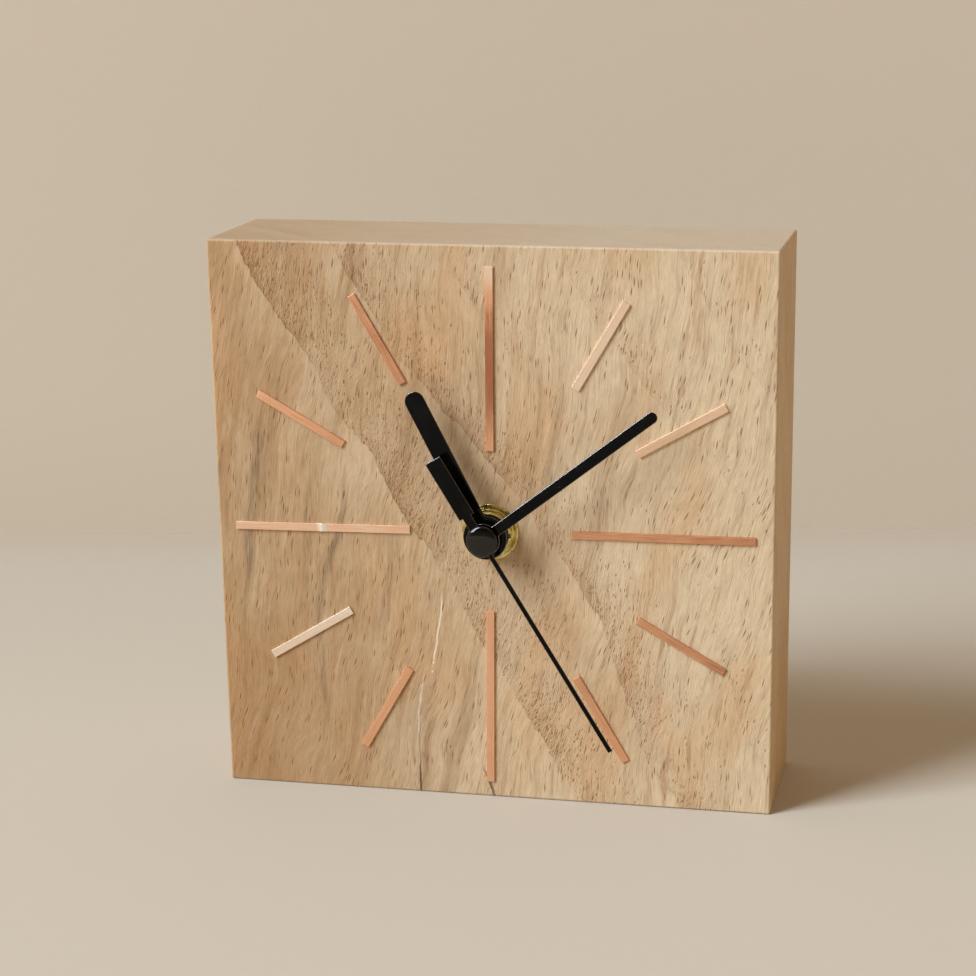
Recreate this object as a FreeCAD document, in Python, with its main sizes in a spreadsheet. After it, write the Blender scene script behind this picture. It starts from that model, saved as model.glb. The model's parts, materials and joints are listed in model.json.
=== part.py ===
import FreeCAD, Part
import Sketcher
import math
import os

# Desk clock: a square block of solid wood with a brass-bushed quartz movement let into its back,
# twelve copper strips for the hours, and three black hands.
#
# Frame: millimetres, X to the right as the dial is read, Y to the back, Z up. The origin is the
# middle of the block's bottom face. Each sub-part is drawn in the dial frame, whose origin is
# where the hands' axis leaves the front of the wood, and is then placed in the block.

# Every size that can be set by itself, with what it is.
DIMENSIONS = {
    # wooden block
    "block_width": (140.0, "block, left to right"),
    "block_height": (140.0, "block, bottom to top"),
    "block_depth": (38.0, "block, front to back"),
    "dial_drop": (0.5, "axis of the hands below the block's middle"),
    "edge_ease": (0.6, "radius sanded on the block's outer edges"),
    "front_wall": (12.0, "wood left in front of the rear pocket"),
    "pocket_gap": (2.0, "room round the movement in the pocket"),
    "pocket_corner": (6.0, "radius left by the router in the pocket's corners"),
    "bore_gap": (0.2, "room between the bush and the wood"),
    # hour strips
    "strip_width": (2.0, "width of an hour strip"),
    "strip_thickness": (0.5, "thickness of an hour strip"),
    "strip_bevel": (0.12, "bevel round a strip's front face"),
    "long_strip_margin": (4.6, "wood outside the strips at 12, 3, 6 and 9"),
    "long_strip_length": (45.0, "length of the strips at 12, 3, 6 and 9"),
    "short_strip_margin": (3.2, "circle of the other strips' ends, inside the nearest edge"),
    "short_strip_length": (24.6, "length of the other strips"),
    # fixing of the movement
    "bush_radius": (4.0, "outside of the threaded bush"),
    "bush_flange_radius": (5.5, "flange of the bush inside the case"),
    "bush_flange_thickness": (0.8, "flange of the bush inside the case"),
    "bush_proud": (0.7, "end of the bush beyond the nut"),
    "rubber_radius": (9.0, "rubber washer behind the wood"),
    "rubber_thickness": (1.0, "rubber washer behind the wood"),
    "washer_radius": (7.1, "brass washer on the dial"),
    "washer_thickness": (0.8, "brass washer on the dial"),
    "washer_bevel": (0.3, "bevel on the washer's rim"),
    "nut_radius": (5.75, "round nut on the bush"),
    "nut_thickness": (2.4, "round nut on the bush"),
    "nut_bevel": (0.45, "bevel on the nut's rim"),
    "nut_slot_width": (1.2, "two key slots across the nut"),
    "nut_slot_depth": (0.8, "two key slots across the nut"),
    # fits
    "running_fit": (0.05, "radial room of a turning fit"),
    "seat_fit": (0.01, "radial room of a pressed seat"),
    "part_gap": (0.15, "room between moulded pieces"),
    # movement case
    "case_depth": (16.0, "movement, front to back"),
    "case_corner": (1.5, "radius on the case's corners"),
    "case_wall": (1.2, "case wall and floor"),
    "cover_thickness": (1.2, "rear cover"),
    "cover_lip": (0.8, "wall of the lip under the rear cover"),
    "cover_lip_height": (1.0, "height of the lip under the rear cover"),
    "bay_gap": (0.5, "room above and below the cell"),
    "bay_wall": (1.0, "wall between the bay and the train"),
    "pillar_side": (3.6, "square pillars under the middle plate and the coil"),
    "clip_width": (7.0, "snap arms of the rear cover"),
    "clip_thickness": (0.9, "snap arms of the rear cover"),
    "clip_length": (5.2, "snap arms of the rear cover"),
    "lug_width": (3.6, "lugs that the snap arms hook on"),
    "lug_height": (1.2, "lugs that the snap arms hook on"),
    "lug_depth": (2.6, "lugs in front of the cover's back, to their near side"),
    "low_clip_level": (-3.0, "lower pair of snap arms above the axis"),
    "high_clip_level": (17.0, "upper pair of snap arms above the axis"),
    # middle plate
    "plate_layer_gap": (0.4, "room between the step wheel and the middle plate"),
    "plate_thickness": (1.2, "middle plate"),
    "plate_edge_gap": (0.4, "room between the plate's top edge and the coil"),
    "rotor_room": (0.4, "room round the rotor's pinion in the middle plate"),
    # wheels: room between each one and what lies in front of it, and its thickness
    "hour_layer_gap": (0.3, "hour wheel"),
    "hour_thickness": (1.0, "hour wheel"),
    "motion_layer_gap": (0.4, "motion wheel"),
    "motion_thickness": (0.9, "motion wheel"),
    "centre_layer_gap": (0.5, "centre wheel"),
    "centre_thickness": (0.8, "centre wheel"),
    "third_layer_gap": (0.5, "third wheel"),
    "third_thickness": (0.8, "third wheel"),
    "seconds_layer_gap": (0.6, "seconds wheel"),
    "seconds_thickness": (0.8, "seconds wheel"),
    "step_layer_gap": (0.4, "step wheel"),
    "step_thickness": (0.8, "step wheel"),
    "pinion_overlap": (0.1, "how far a pinion stands past its wheel on each side"),
    "motion_module": (0.65, "tooth size of the motion work"),
    "centre_module": (0.4, "tooth size of the centre wheel"),
    "seconds_module": (0.6, "tooth size of the seconds wheel"),
    "step_module": (0.34, "tooth size of the step wheel"),
    "wheel_arbor": (0.5, "radius of the train's arbors"),
    "post_radius": (1.2, "moulded posts that carry arbors"),
    "knob_boss_radius": (2.4, "boss that carries the knob's pivot"),
    "post_gap": (0.2, "end play of the arbors, and room over the posts"),
    "pivot_depth": (1.4, "length of an arbor inside its post"),
    # arbors through the dial
    "seconds_arbor_radius": (0.5, "steel arbor of the second hand"),
    "minute_arbor_radius": (1.75, "outside of the minute arbor"),
    "clutch_seat_radius": (1.4, "waist of the minute arbor in the centre wheel"),
    "clutch_spring_radius": (2.6, "star washer that presses on the centre wheel"),
    "clutch_spring_rim": (0.45, "narrowest width of the star washer"),
    "clutch_spring_thickness": (0.15, "star washer that presses on the centre wheel"),
    "hour_pipe_radius": (2.5, "outside of the hour pipe"),
    # setting knob
    "knob_radius": (6.5, "setting knob on the back"),
    "knob_height": (3.4, "setting knob on the back"),
    "knob_gap": (0.4, "room between the knob and the cover"),
    "knob_groove": (0.7, "depth of the finger grooves round the knob"),
    "knob_dish": (0.8, "depth of the dish in the knob's face"),
    "knob_rim": (1.6, "width of the rim round the dish"),
    "knob_shaft_radius": (1.5, "shaft of the setting knob"),
    "knob_pivot_radius": (0.75, "front pivot of the setting knob"),
    # motor
    "magnet_radius": (3.0, "rotor magnet"),
    "magnet_thickness": (1.6, "rotor magnet"),
    "rotor_hub_radius": (0.8, "rotor hub inside the magnet"),
    "rotor_seat_radius": (1.5, "rotor's bearing under the rear cover"),
    "rotor_seat_gap": (0.3, "room between the magnet and that bearing"),
    "stator_hole": (3.5, "hole in the stator round the magnet"),
    "stator_ring": (5.5, "outside of the stator round its hole"),
    "stator_thickness": (1.0, "stator plate"),
    "stator_bar": (3.2, "width of the stator's bar"),
    "core_length": (34.0, "coil core between its ends"),
    "core_width": (4.0, "coil core"),
    "core_thickness": (0.8, "coil core"),
    "coil_centre_x": (3.0, "middle of the coil beside the axis"),
    "coil_gap": (0.25, "room between the coil and the cover's lip"),
    "coil_seat_drop": (0.4, "coil's seats in front of the middle plate's back"),
    "coil_length": (25.6, "bobbin over its flanges"),
    "coil_flange": (0.8, "thickness of the bobbin's flanges"),
    "coil_flange_side": (7.4, "side of the bobbin's flanges"),
    "coil_radius": (3.5, "copper winding"),
    "bobbin_wall": (0.6, "bobbin's tube"),
    "core_gap": (0.05, "room between the core and the bobbin"),
    "screw_radius": (1.0, "shank of the coil screws"),
    "screw_length": (7.0, "shank of the coil screws"),
    "screw_head_radius": (1.8, "head of the coil screws"),
    "screw_head_height": (1.1, "head of the coil screws"),
    "screw_slot_width": (0.5, "driver slot of the coil screws"),
    # circuit
    "board_gap": (1.3, "room beside the circuit board"),
    "board_width": (9.9, "circuit board, left to right"),
    "board_height": (19.3, "circuit board, bottom to top"),
    "board_thickness": (0.8, "circuit board"),
    "chip_radius": (3.0, "resin blob over the chip"),
    "chip_height": (1.2, "resin blob over the chip"),
    "chip_bevel": (0.84, "rounding of the resin blob"),
    "chip_drop": (12.0, "middle of the chip below the board's top edge"),
    "crystal_radius": (1.0, "quartz crystal can"),
    "crystal_length": (6.2, "quartz crystal can"),
    "crystal_margin": (1.0, "crystal from the board's left and top edges"),
    "lead_length": (1.4, "crystal's leads"),
    "lead_spacing": (0.8, "crystal's leads, middle to middle"),
    "lead_side": (0.3, "crystal's leads"),
    # battery and its contacts
    "battery_radius": (7.1, "AA cell"),
    "battery_length": (50.5, "AA cell over its positive cap"),
    "battery_cap_radius": (2.7, "positive cap"),
    "battery_cap_height": (1.3, "positive cap"),
    "battery_bevel": (0.8, "rolled edges of the cell"),
    "battery_cap_bevel": (0.2, "edge of the positive cap"),
    "contact_thickness": (0.4, "contact strips"),
    "contact_width": (8.0, "contact plates in the bay"),
    "contact_strip": (2.4, "strips that lead to the circuit board"),
    "contact_margin": (2.0, "contact plates from the bay's front and back"),
    "leaf_room": (2.7, "room for the sprung leaf between the wall and the cell"),
    "leaf_root": (1.4, "bend that joins the leaf to its plate"),
    "leaf_end_gap": (0.9, "room behind the leaf's free end"),
    # hands
    "hour_hand_gap": (0.4, "room between the bush and the hour hand's collar"),
    "minute_hand_gap": (0.3, "room between the hour pipe and the minute hand's collar"),
    "second_hand_gap": (0.1, "room between the minute arbor and the second hand's tube"),
    "hand_thickness": (0.4, "hour and minute hands"),
    "second_hand_thickness": (0.3, "second hand"),
    "hour_hand_length": (39.7, "axis to tip"),
    "hour_hand_width": (5.0, "blade"),
    "hour_hub_radius": (5.5, "disc at the axis"),
    "hour_collar_radius": (3.6, "collar behind the disc"),
    "minute_hand_length": (53.4, "axis to tip"),
    "minute_hand_width": (2.8, "blade"),
    "minute_hub_radius": (4.1, "disc at the axis"),
    "minute_collar_radius": (2.7, "collar behind the disc"),
    "collar_length": (1.3, "collars behind the hour and minute discs"),
    "second_hand_length": (60.8, "axis to tip"),
    "second_hand_width": (1.2, "blade"),
    "second_hub_radius": (3.05, "disc under the cap"),
    "tail_length": (23.0, "axis to the end of the counterweight"),
    "tail_width": (4.2, "counterweight"),
    "tail_start": (7.0, "axis to the start of the counterweight"),
    "tail_neck_width": (2.4, "neck between the cap and the counterweight"),
    "second_tube_radius": (1.1, "tube of the second hand"),
    "second_tube_length": (0.8, "tube of the second hand"),
    "cap_radius": (3.55, "domed cap"),
    "cap_rim": (0.3, "straight rim of the domed cap"),
    "cap_height": (1.2, "domed cap"),
    "arbor_in_cap": (0.4, "end of the seconds arbor inside the domed cap"),
    "pipe_proud": (0.2, "hour pipe beyond its hand"),
    "arbor_proud": (0.1, "minute arbor beyond its hand"),
    # where the hands stand, in degrees clockwise from 12
    "hour_hand_angle": (333.0, "hour hand"),
    "minute_hand_angle": (52.4, "minute hand"),
    "second_hand_angle": (148.8, "second hand"),
}

# The strips are stuck on by hand: degrees clockwise that each one, from 1 to 12, is off its hour.
STRIP_LEAN = (0.5, 0.2, -0.5, -0.5, -0.3, 0.8, 0.2, -1.3, -1.0, -0.7, -0.3, 0.5)

# Teeth on each wheel and pinion
TEETH = {
    "rotor": 6, "step_wheel": 36, "step_pinion": 6, "seconds_wheel": 30, "seconds_pinion": 6,
    "third_wheel": 48, "third_pinion": 6, "centre_wheel": 45,
    "cannon": 8, "motion_wheel": 24, "motion_pinion": 6, "hour_wheel": 24, "knob": 8,
}

# Directions from one arbor to the next, in degrees anticlockwise from +X as the dial is read
THIRD_DIRECTION = 170.0
STEP_DIRECTION = 80.0
ROTOR_DIRECTION = 15.0
MOTION_DIRECTION = -10.0
KNOB_DIRECTION = 10.0

# Tooth form, in shares of the module and of the pitch
ADDENDUM = 0.8
DEDENDUM = 1.15
TOOTH_SHARE = 0.44
TIP_SHARE = 0.45
ROOT_SHARE = 1.2
LARGEST_ROOT = 0.47

STAR_POINTS = 6
KNOB_GROOVES = 18
GROOVE_SHARE = 0.25

# How far a cutting tool runs past the face that it opens, how far a piece of a fused shape reaches
# into its neighbour, and how near two coordinates are when they are the same
PAST = 1.0
JOIN = 0.1
SAME = 1e-6

# Sizes that follow from the ones above. The case is as wide as its cell and contacts need.
DIAL_HEIGHT = "(block_height / 2 - dial_drop)"
NEAREST_EDGE = "(min(block_width; block_height) / 2)"
CASE_SIDE = "(battery_length + contact_thickness + leaf_room + 2 * case_wall)"
CASE_HALF = f"({CASE_SIDE} / 2)"
CASE_INNER = f"({CASE_HALF} - case_wall)"
BAY_HEIGHT = "(2 * battery_radius + 2 * bay_gap)"
BAY_TOP = f"({BAY_HEIGHT} - {CASE_INNER})"
TRAIN_BOTTOM = f"({BAY_TOP} + bay_wall)"
COVER_FRONT = "(case_depth - cover_thickness)"

# Depths of the layers of wheels behind the case's front face, each counted from the one before
LAYER_STARTS = {}
LAYER_ENDS = {}
layer_end = "case_wall"
for layer_name in ("hour", "motion", "centre", "third", "seconds", "step"):
    LAYER_STARTS[layer_name] = f"({layer_end} + {layer_name}_layer_gap)"
    layer_end = f"({LAYER_STARTS[layer_name]} + {layer_name}_thickness)"
    LAYER_ENDS[layer_name] = layer_end
PLATE_FRONT = f"({LAYER_ENDS['step']} + plate_layer_gap)"
PLATE_BACK = f"({PLATE_FRONT} + plate_thickness)"
COIL_POST_TOP = f"({PLATE_BACK} - coil_seat_drop)"
STATOR_FRONT = f"({COIL_POST_TOP} + core_thickness)"
STATOR_BACK = f"({STATOR_FRONT} + stator_thickness)"
MAGNET_FRONT = f"({PLATE_BACK} + post_gap)"
MAGNET_BACK = f"({MAGNET_FRONT} + magnet_thickness)"
STEP_POST_BACK = f"({LAYER_STARTS['seconds']} - pinion_overlap - post_gap)"
ROTOR_POST_BACK = f"({LAYER_STARTS['step']} - pinion_overlap - post_gap)"
KNOB_BOSS_BACK = f"({LAYER_STARTS['motion']} - pinion_overlap - 2 * post_gap)"
MOTION_PIN_BACK = f"({LAYER_STARTS['centre']} - 1.5 * post_gap)"
REAR_PIVOT_BACK = f"({PLATE_BACK} - post_gap)"

# The stack on the front of the wood: how far each piece reaches forward
NUT_FRONT = "(washer_thickness + nut_thickness)"
BUSH_FRONT = f"({NUT_FRONT} + bush_proud)"
HOUR_HAND_FRONT = f"({BUSH_FRONT} + hour_hand_gap + collar_length + hand_thickness)"
HOUR_PIPE_FRONT = f"({HOUR_HAND_FRONT} + pipe_proud)"
MINUTE_HAND_FRONT = f"({HOUR_PIPE_FRONT} + minute_hand_gap + collar_length + hand_thickness)"
MINUTE_ARBOR_FRONT = f"({MINUTE_HAND_FRONT} + arbor_proud)"
SECOND_HAND_FRONT = f"({MINUTE_ARBOR_FRONT} + second_hand_gap + second_tube_length + second_hand_thickness)"

# Heights above the axis, and edges of the board beside it
COIL_Z = f"({CASE_INNER} - part_gap - cover_lip - coil_gap - coil_flange_side / 2)"
PLATE_TOP = f"({COIL_Z} - coil_flange_side / 2 - plate_edge_gap)"
STRIP_LOW = f"({TRAIN_BOTTOM} + 2 * part_gap)"
STRIP_TOP = f"({STRIP_LOW} + contact_strip)"
BOARD_LEFT = f"(board_gap - {CASE_INNER})"
BOARD_RIGHT = f"({BOARD_LEFT} + board_width)"
BOARD_TOP = f"({STRIP_LOW} + board_height)"
CLIP_LEVELS = ("low_clip_level", "high_clip_level")

doc = FreeCAD.newDocument("DeskClock")
sheet = doc.addObject("Spreadsheet::Sheet", "sizes")
for row, (alias, (value, note)) in enumerate(DIMENSIONS.items(), start=1):
    sheet.set(f"A{row}", alias)
    sheet.set(f"B{row}", str(value))
    sheet.set(f"C{row}", note)
    sheet.setAlias(f"B{row}", alias)
doc.recompute()

SUB_PARTS = []


def bound(text):
    """Turn words such as block_depth into references to the sheet's cells."""
    words = []
    word = ""
    for letter in text + " ":
        if letter.isalnum() or letter == "_" or letter == ".":
            word += letter
            continue
        words.append(f"sizes.{word}" if word in DIMENSIONS else word)
        words.append(letter)
        word = ""
    return "".join(words).strip()


def number(text):
    """The value of an expression of the sheet's cells."""
    return float(sheet.evalExpression(bound(text)))


def behind(depth):
    """Y, in the dial frame, of a depth behind the movement's front face."""
    return f"(front_wall + rubber_thickness + {depth})"


def bind(thing, name, text):
    """Tie one property to an expression of the sheet's cells."""
    thing.setExpression(name, bound(text))


def finish(thing, label, turn=None):
    """Name a sub-part and put the dial frame where the block has it, turned clockwise."""
    thing.Label = label
    if turn is not None:
        thing.Placement.Rotation = FreeCAD.Rotation(FreeCAD.Vector(0, 1, 0), 1)
        bind(thing, "Placement.Rotation.Angle", turn)
    bind(thing, "Placement.Base.y", "-block_depth / 2")
    bind(thing, "Placement.Base.z", DIAL_HEIGHT)
    SUB_PARTS.append(thing)


def finish_shape(shape, label, place=("0", "0")):
    """Keep a shape computed about its own arbor as a sub-part, and put that arbor in its place."""
    thing = doc.addObject("Part::Feature", label)
    thing.Shape = shape.removeSplitter()
    thing.Label = label
    across = number(place[0])
    up = number(f"{place[1]} + {DIAL_HEIGHT}")
    thing.Placement.Base = FreeCAD.Vector(across, -number("block_depth / 2"), up)
    SUB_PARTS.append(thing)


def origin_plane(body, role):
    return next(feature for feature in body.Origin.OriginFeatures if feature.Role == role)


def new_body(name):
    return doc.addObject("PartDesign::Body", name)


def new_sketch(body, role, offset):
    """A sketch on one of the body's origin planes, moved along the plane's normal."""
    sketch = body.newObject("Sketcher::SketchObject", body.Name + "_sketch")
    sketch.AttachmentSupport = [(origin_plane(body, role), "")]
    sketch.MapMode = "FlatFace"
    bind(sketch, "AttachmentOffset.Base.z", offset)
    return sketch


def place_point(sketch, index, point, across, up):
    """Tie one point of a sketch to the sheet by its two distances from the sketch's origin."""
    for kind, text in (("DistanceX", across), ("DistanceY", up)):
        rule = sketch.addConstraint(Sketcher.Constraint(kind, -1, 1, index, point, number(text)))
        bind(sketch, f"Constraints[{rule}]", text)


def draw_outline(sketch, corners):
    """Join corners, given as pairs of expressions, into one closed outline tied to the sheet."""
    places = [FreeCAD.Vector(number(across), number(up), 0) for across, up in corners]
    count = len(places)
    first = sketch.GeometryCount
    for index in range(count):
        line = Part.LineSegment(places[index], places[(index + 1) % count])
        sketch.addGeometry(line, False)
    for index in range(count):
        after = first + (index + 1) % count
        sketch.addConstraint(Sketcher.Constraint("Coincident", first + index, 2, after, 1))
    for index, (across, up) in enumerate(corners):
        place_point(sketch, first + index, 1, across, up)


def draw_circle(sketch, across, up, radius):
    """A circle tied to the sheet by its middle and its radius."""
    middle = FreeCAD.Vector(number(across), number(up), 0)
    circle = Part.Circle(middle, FreeCAD.Vector(0, 0, 1), number(radius))
    index = sketch.addGeometry(circle, False)
    place_point(sketch, index, 3, across, up)
    rule = sketch.addConstraint(Sketcher.Constraint("Radius", index, number(radius)))
    bind(sketch, f"Constraints[{rule}]", radius)


def rectangle(left, bottom, right, top):
    return [(left, bottom), (right, bottom), (right, top), (left, top)]


def front_sketch(body, start, outline, circle):
    """A sketch at y = start, seen from the front, that holds an outline or a circle."""
    sketch = new_sketch(body, "XZ_Plane", f"-({start})")
    if outline:
        draw_outline(sketch, outline)
    else:
        draw_circle(sketch, *circle)
    return sketch


def pad(body, start, depth, outline=None, circle=None):
    """Raise an outline or a circle, seen from the front, from y = start backwards by depth."""
    sketch = front_sketch(body, start, outline, circle)
    feature = body.newObject("PartDesign::Pad", body.Name + "_pad")
    feature.Profile = sketch
    feature.Reversed = True
    bind(feature, "Length", depth)
    doc.recompute()


def pocket(body, start, depth, outline=None, circle=None):
    """Cut an outline or a circle, seen from the front, from y = start backwards by depth."""
    before = body.Shape.Volume
    sketch = front_sketch(body, start, outline, circle)
    feature = body.newObject("PartDesign::Pocket", body.Name + "_pocket")
    feature.Profile = sketch
    bind(feature, "Length", depth)
    doc.recompute()
    if body.Shape.Volume >= before:
        raise RuntimeError(f"a pocket of {body.Name} cuts nothing")


def every_edge(ends):
    return True


def along_y(ends):
    return len(ends) == 2 and abs(ends[0].x - ends[1].x) + abs(ends[0].z - ends[1].z) < SAME


def at_depth(level):
    """A test for edges that lie in the plane at one value of y."""
    def in_plane(ends):
        return all(abs(end.y - level) < SAME for end in ends)

    return in_plane


def round_edges(body, radius, test, kind="Fillet", size="Radius"):
    """Round or bevel the edges of a body whose end points pass a test."""
    names = []
    for index, edge in enumerate(body.Shape.Edges, start=1):
        if test([vertex.Point for vertex in edge.Vertexes]):
            names.append(f"Edge{index}")
    base = body.Tip
    feature = body.newObject("PartDesign::" + kind, body.Name + "_" + kind.lower())
    feature.Base = (base, names)
    bind(feature, size, radius)
    doc.recompute()


def turned(name, profile):
    """A piece turned about the hands' axis, from (radius, y) corners."""
    body = new_body(name)
    sketch = new_sketch(body, "XY_Plane", "0")
    draw_outline(sketch, profile)
    feature = body.newObject("PartDesign::Revolution", name + "_turn")
    feature.Profile = sketch
    feature.ReferenceAxis = (sketch, ["V_Axis"])
    feature.Angle = 360
    doc.recompute()
    return body


def ring(inner, outer, start, end):
    """Profile of a plain ring between two values of y."""
    return [(inner, start), (outer, start), (outer, end), (inner, end)]


def box(name, left, start, bottom, right, end, top):
    """A box between two corners in the dial frame."""
    thing = doc.addObject("Part::Box", name)
    bind(thing, "Length", f"{right} - ({left})")
    bind(thing, "Width", f"{end} - ({start})")
    bind(thing, "Height", f"{top} - ({bottom})")
    bind(thing, "Placement.Base.x", left)
    bind(thing, "Placement.Base.y", start)
    bind(thing, "Placement.Base.z", bottom)
    return thing


def rod(name, across, up, radius, start, end):
    """A cylinder along Y between two values of y."""
    thing = doc.addObject("Part::Cylinder", name)
    bind(thing, "Radius", radius)
    bind(thing, "Height", f"{end} - ({start})")
    thing.Placement.Rotation = FreeCAD.Rotation(FreeCAD.Vector(1, 0, 0), -90)
    bind(thing, "Placement.Base.x", across)
    bind(thing, "Placement.Base.y", start)
    bind(thing, "Placement.Base.z", up)
    return thing


def crossways(name, left, depth, up, radius, length):
    """A cylinder along X from its left end."""
    thing = doc.addObject("Part::Cylinder", name)
    bind(thing, "Radius", radius)
    bind(thing, "Height", length)
    thing.Placement.Rotation = FreeCAD.Rotation(FreeCAD.Vector(0, 1, 0), 90)
    bind(thing, "Placement.Base.x", left)
    bind(thing, "Placement.Base.y", depth)
    bind(thing, "Placement.Base.z", up)
    return thing


def pillar(name, place, start, end):
    """A square pillar about a point, between two values of y."""
    half = "pillar_side / 2"
    return box(name, f"{place[0]} - {half}", start, f"{place[1]} - {half}",
               f"{place[0]} + {half}", end, f"{place[1]} + {half}")


def fused(name, things):
    result = doc.addObject("Part::MultiFuse", name)
    result.Shapes = things
    result.Refine = True
    return result


def cut(name, base, tools):
    result = doc.addObject("Part::Cut", name)
    result.Base = base
    result.Tool = tools[0] if len(tools) == 1 else fused(name + "_tools", tools)
    result.Refine = True
    return result


def polar(distance, degrees):
    """Pair of expressions for a point at a distance and direction from the axis."""
    turn = math.radians(degrees)
    return (f"({distance}) * {math.cos(turn):.6f}", f"({distance}) * {math.sin(turn):.6f}")


def moved(point, step):
    return (f"({point[0]} + {step[0]})", f"({point[1]} + {step[1]})")


def mesh_distance(one, other, module):
    """Distance between the arbors of two gears in mesh."""
    return f"({TEETH[one] + TEETH[other]} * {module} / 2)"


def tip_radius(gear, module):
    return f"({TEETH[gear] / 2 + ADDENDUM} * {module})"


def shared_module(first, second, module, one, other):
    """Tooth size of a second pair on the two arbors that a first pair already sets apart."""
    return f"({TEETH[first] + TEETH[second]} * {module} / {TEETH[one] + TEETH[other]})"


# Where each arbor stands, and the tooth sizes that follow from pairs that share two arbors
THIRD_MODULE = shared_module("third_pinion", "centre_wheel", "centre_module",
                             "seconds_pinion", "third_wheel")
HOUR_MODULE = shared_module("cannon", "motion_wheel", "motion_module",
                            "motion_pinion", "hour_wheel")
AXIS = ("0", "0")
THIRD = polar(mesh_distance("third_pinion", "centre_wheel", "centre_module"), THIRD_DIRECTION)
STEP = polar(mesh_distance("step_pinion", "seconds_wheel", "seconds_module"), STEP_DIRECTION)
ROTOR = moved(STEP, polar(mesh_distance("rotor", "step_wheel", "step_module"), ROTOR_DIRECTION))
MOTION = polar(mesh_distance("cannon", "motion_wheel", "motion_module"), MOTION_DIRECTION)
KNOB = moved(MOTION, polar(mesh_distance("knob", "motion_wheel", "motion_module"), KNOB_DIRECTION))

SCREW_PLACES = [
    ("(coil_centre_x - core_length / 2 + core_width / 2)", COIL_Z),
    ("(coil_centre_x + core_length / 2 - core_width / 2)", COIL_Z),
]
PILLAR_X = f"({CASE_INNER} - pillar_side / 2)"
PILLARS = [(f"{side}{PILLAR_X}", height) for side in ("-", "")
           for height in (f"({TRAIN_BOTTOM} + pillar_side / 2)", f"({PLATE_TOP} - pillar_side / 2)")]


def wood_block():
    """The block, with its bore and the routed pocket that takes the movement."""
    body = new_body("wood_block")
    half = "block_width / 2"
    top = f"block_height - {DIAL_HEIGHT}"
    pad(body, "0", "block_depth", rectangle(f"-{half}", f"-{DIAL_HEIGHT}", half, top))
    round_edges(body, "edge_ease", every_edge)
    side = f"({CASE_HALF} + pocket_gap)"
    pocket(body, "front_wall", "block_depth - front_wall", rectangle(f"-{side}", f"-{side}", side, side))
    reach = number(side) + SAME

    def pocket_corners(ends):
        return along_y(ends) and abs(ends[0].x) < reach and abs(ends[0].z) < reach

    round_edges(body, "pocket_corner", pocket_corners)
    pocket(body, "0", f"front_wall + {PAST}", circle=("0", "0", "bush_radius + bore_gap"))
    finish(body, "wood_block")


def hour_strips():
    """Twelve copper strips laid on the wood, each turned to its own hour."""
    for hour, lean in enumerate(STRIP_LEAN, start=1):
        kind = "long" if hour % 3 == 0 else "short"
        label = f"hour_marker_{hour:02d}"
        body = new_body(label)
        outer = f"({NEAREST_EDGE} - {kind}_strip_margin)"
        inner = f"({outer} - {kind}_strip_length)"
        outline = rectangle("-strip_width / 2", inner, "strip_width / 2", outer)
        pad(body, "-strip_thickness", "strip_thickness", outline)
        front = at_depth(-number("strip_thickness"))
        round_edges(body, "strip_bevel", front, kind="Chamfer", size="Size")
        finish(body, label, turn=str(30 * (hour % 12) + lean))


def fixing():
    """The rubber washer, brass bush, brass washer and round nut that clamp the movement."""
    hole = "bush_radius + bore_gap"
    body = turned("rubber_washer", ring(hole, "rubber_radius", "front_wall", behind("0")))
    finish(body, "rubber_washer")

    flange_back = behind("case_wall")
    flange_front = behind("case_wall - bush_flange_thickness")
    bush_end = f"-{BUSH_FRONT}"
    bore = "hour_pipe_radius + running_fit"
    body = turned("threaded_bush", [
        (bore, bush_end), ("bush_radius - bush_proud / 2", bush_end),
        ("bush_radius", f"{bush_end} + bush_proud / 2"), ("bush_radius", flange_front),
        ("bush_flange_radius", flange_front), ("bush_flange_radius", flange_back), (bore, flange_back),
    ])
    finish(body, "threaded_bush")

    hole = "bush_radius + running_fit"
    body = turned("brass_washer", [
        (hole, "-washer_thickness"), ("washer_radius - washer_bevel", "-washer_thickness"),
        ("washer_radius", "washer_bevel - washer_thickness"), ("washer_radius", "0"), (hole, "0"),
    ])
    finish(body, "brass_washer")

    nut_back = "-washer_thickness"
    nut_front = f"-{NUT_FRONT}"
    thread = "bush_radius + seat_fit"
    body = turned("round_nut", [
        (thread, nut_front), ("nut_radius - nut_bevel", nut_front),
        ("nut_radius", f"{nut_front} + nut_bevel"), ("nut_radius", f"{nut_back} - nut_bevel / 2"),
        ("nut_radius - nut_bevel / 2", nut_back), (thread, nut_back),
    ])
    reach = f"nut_radius + {PAST}"
    slot = rectangle(f"-({reach})", "-nut_slot_width / 2", reach, "nut_slot_width / 2")
    pocket(body, nut_front, "nut_slot_depth", slot)
    finish(body, "round_nut")


def both_sides(near, far):
    """Left and right ends of a box on each side of the axis, from its two distances to it."""
    return [(f"-{far}", f"-{near}"), (near, far)]


def rounded_square(name, start, depth, bottom, top):
    """A moulded slab across the case's width whose four outer corners are rounded."""
    body = new_body(name)
    pad(body, start, depth, rectangle(f"-{CASE_HALF}", bottom, CASE_HALF, top))
    round_edges(body, "case_corner", along_y)
    return body


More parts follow.
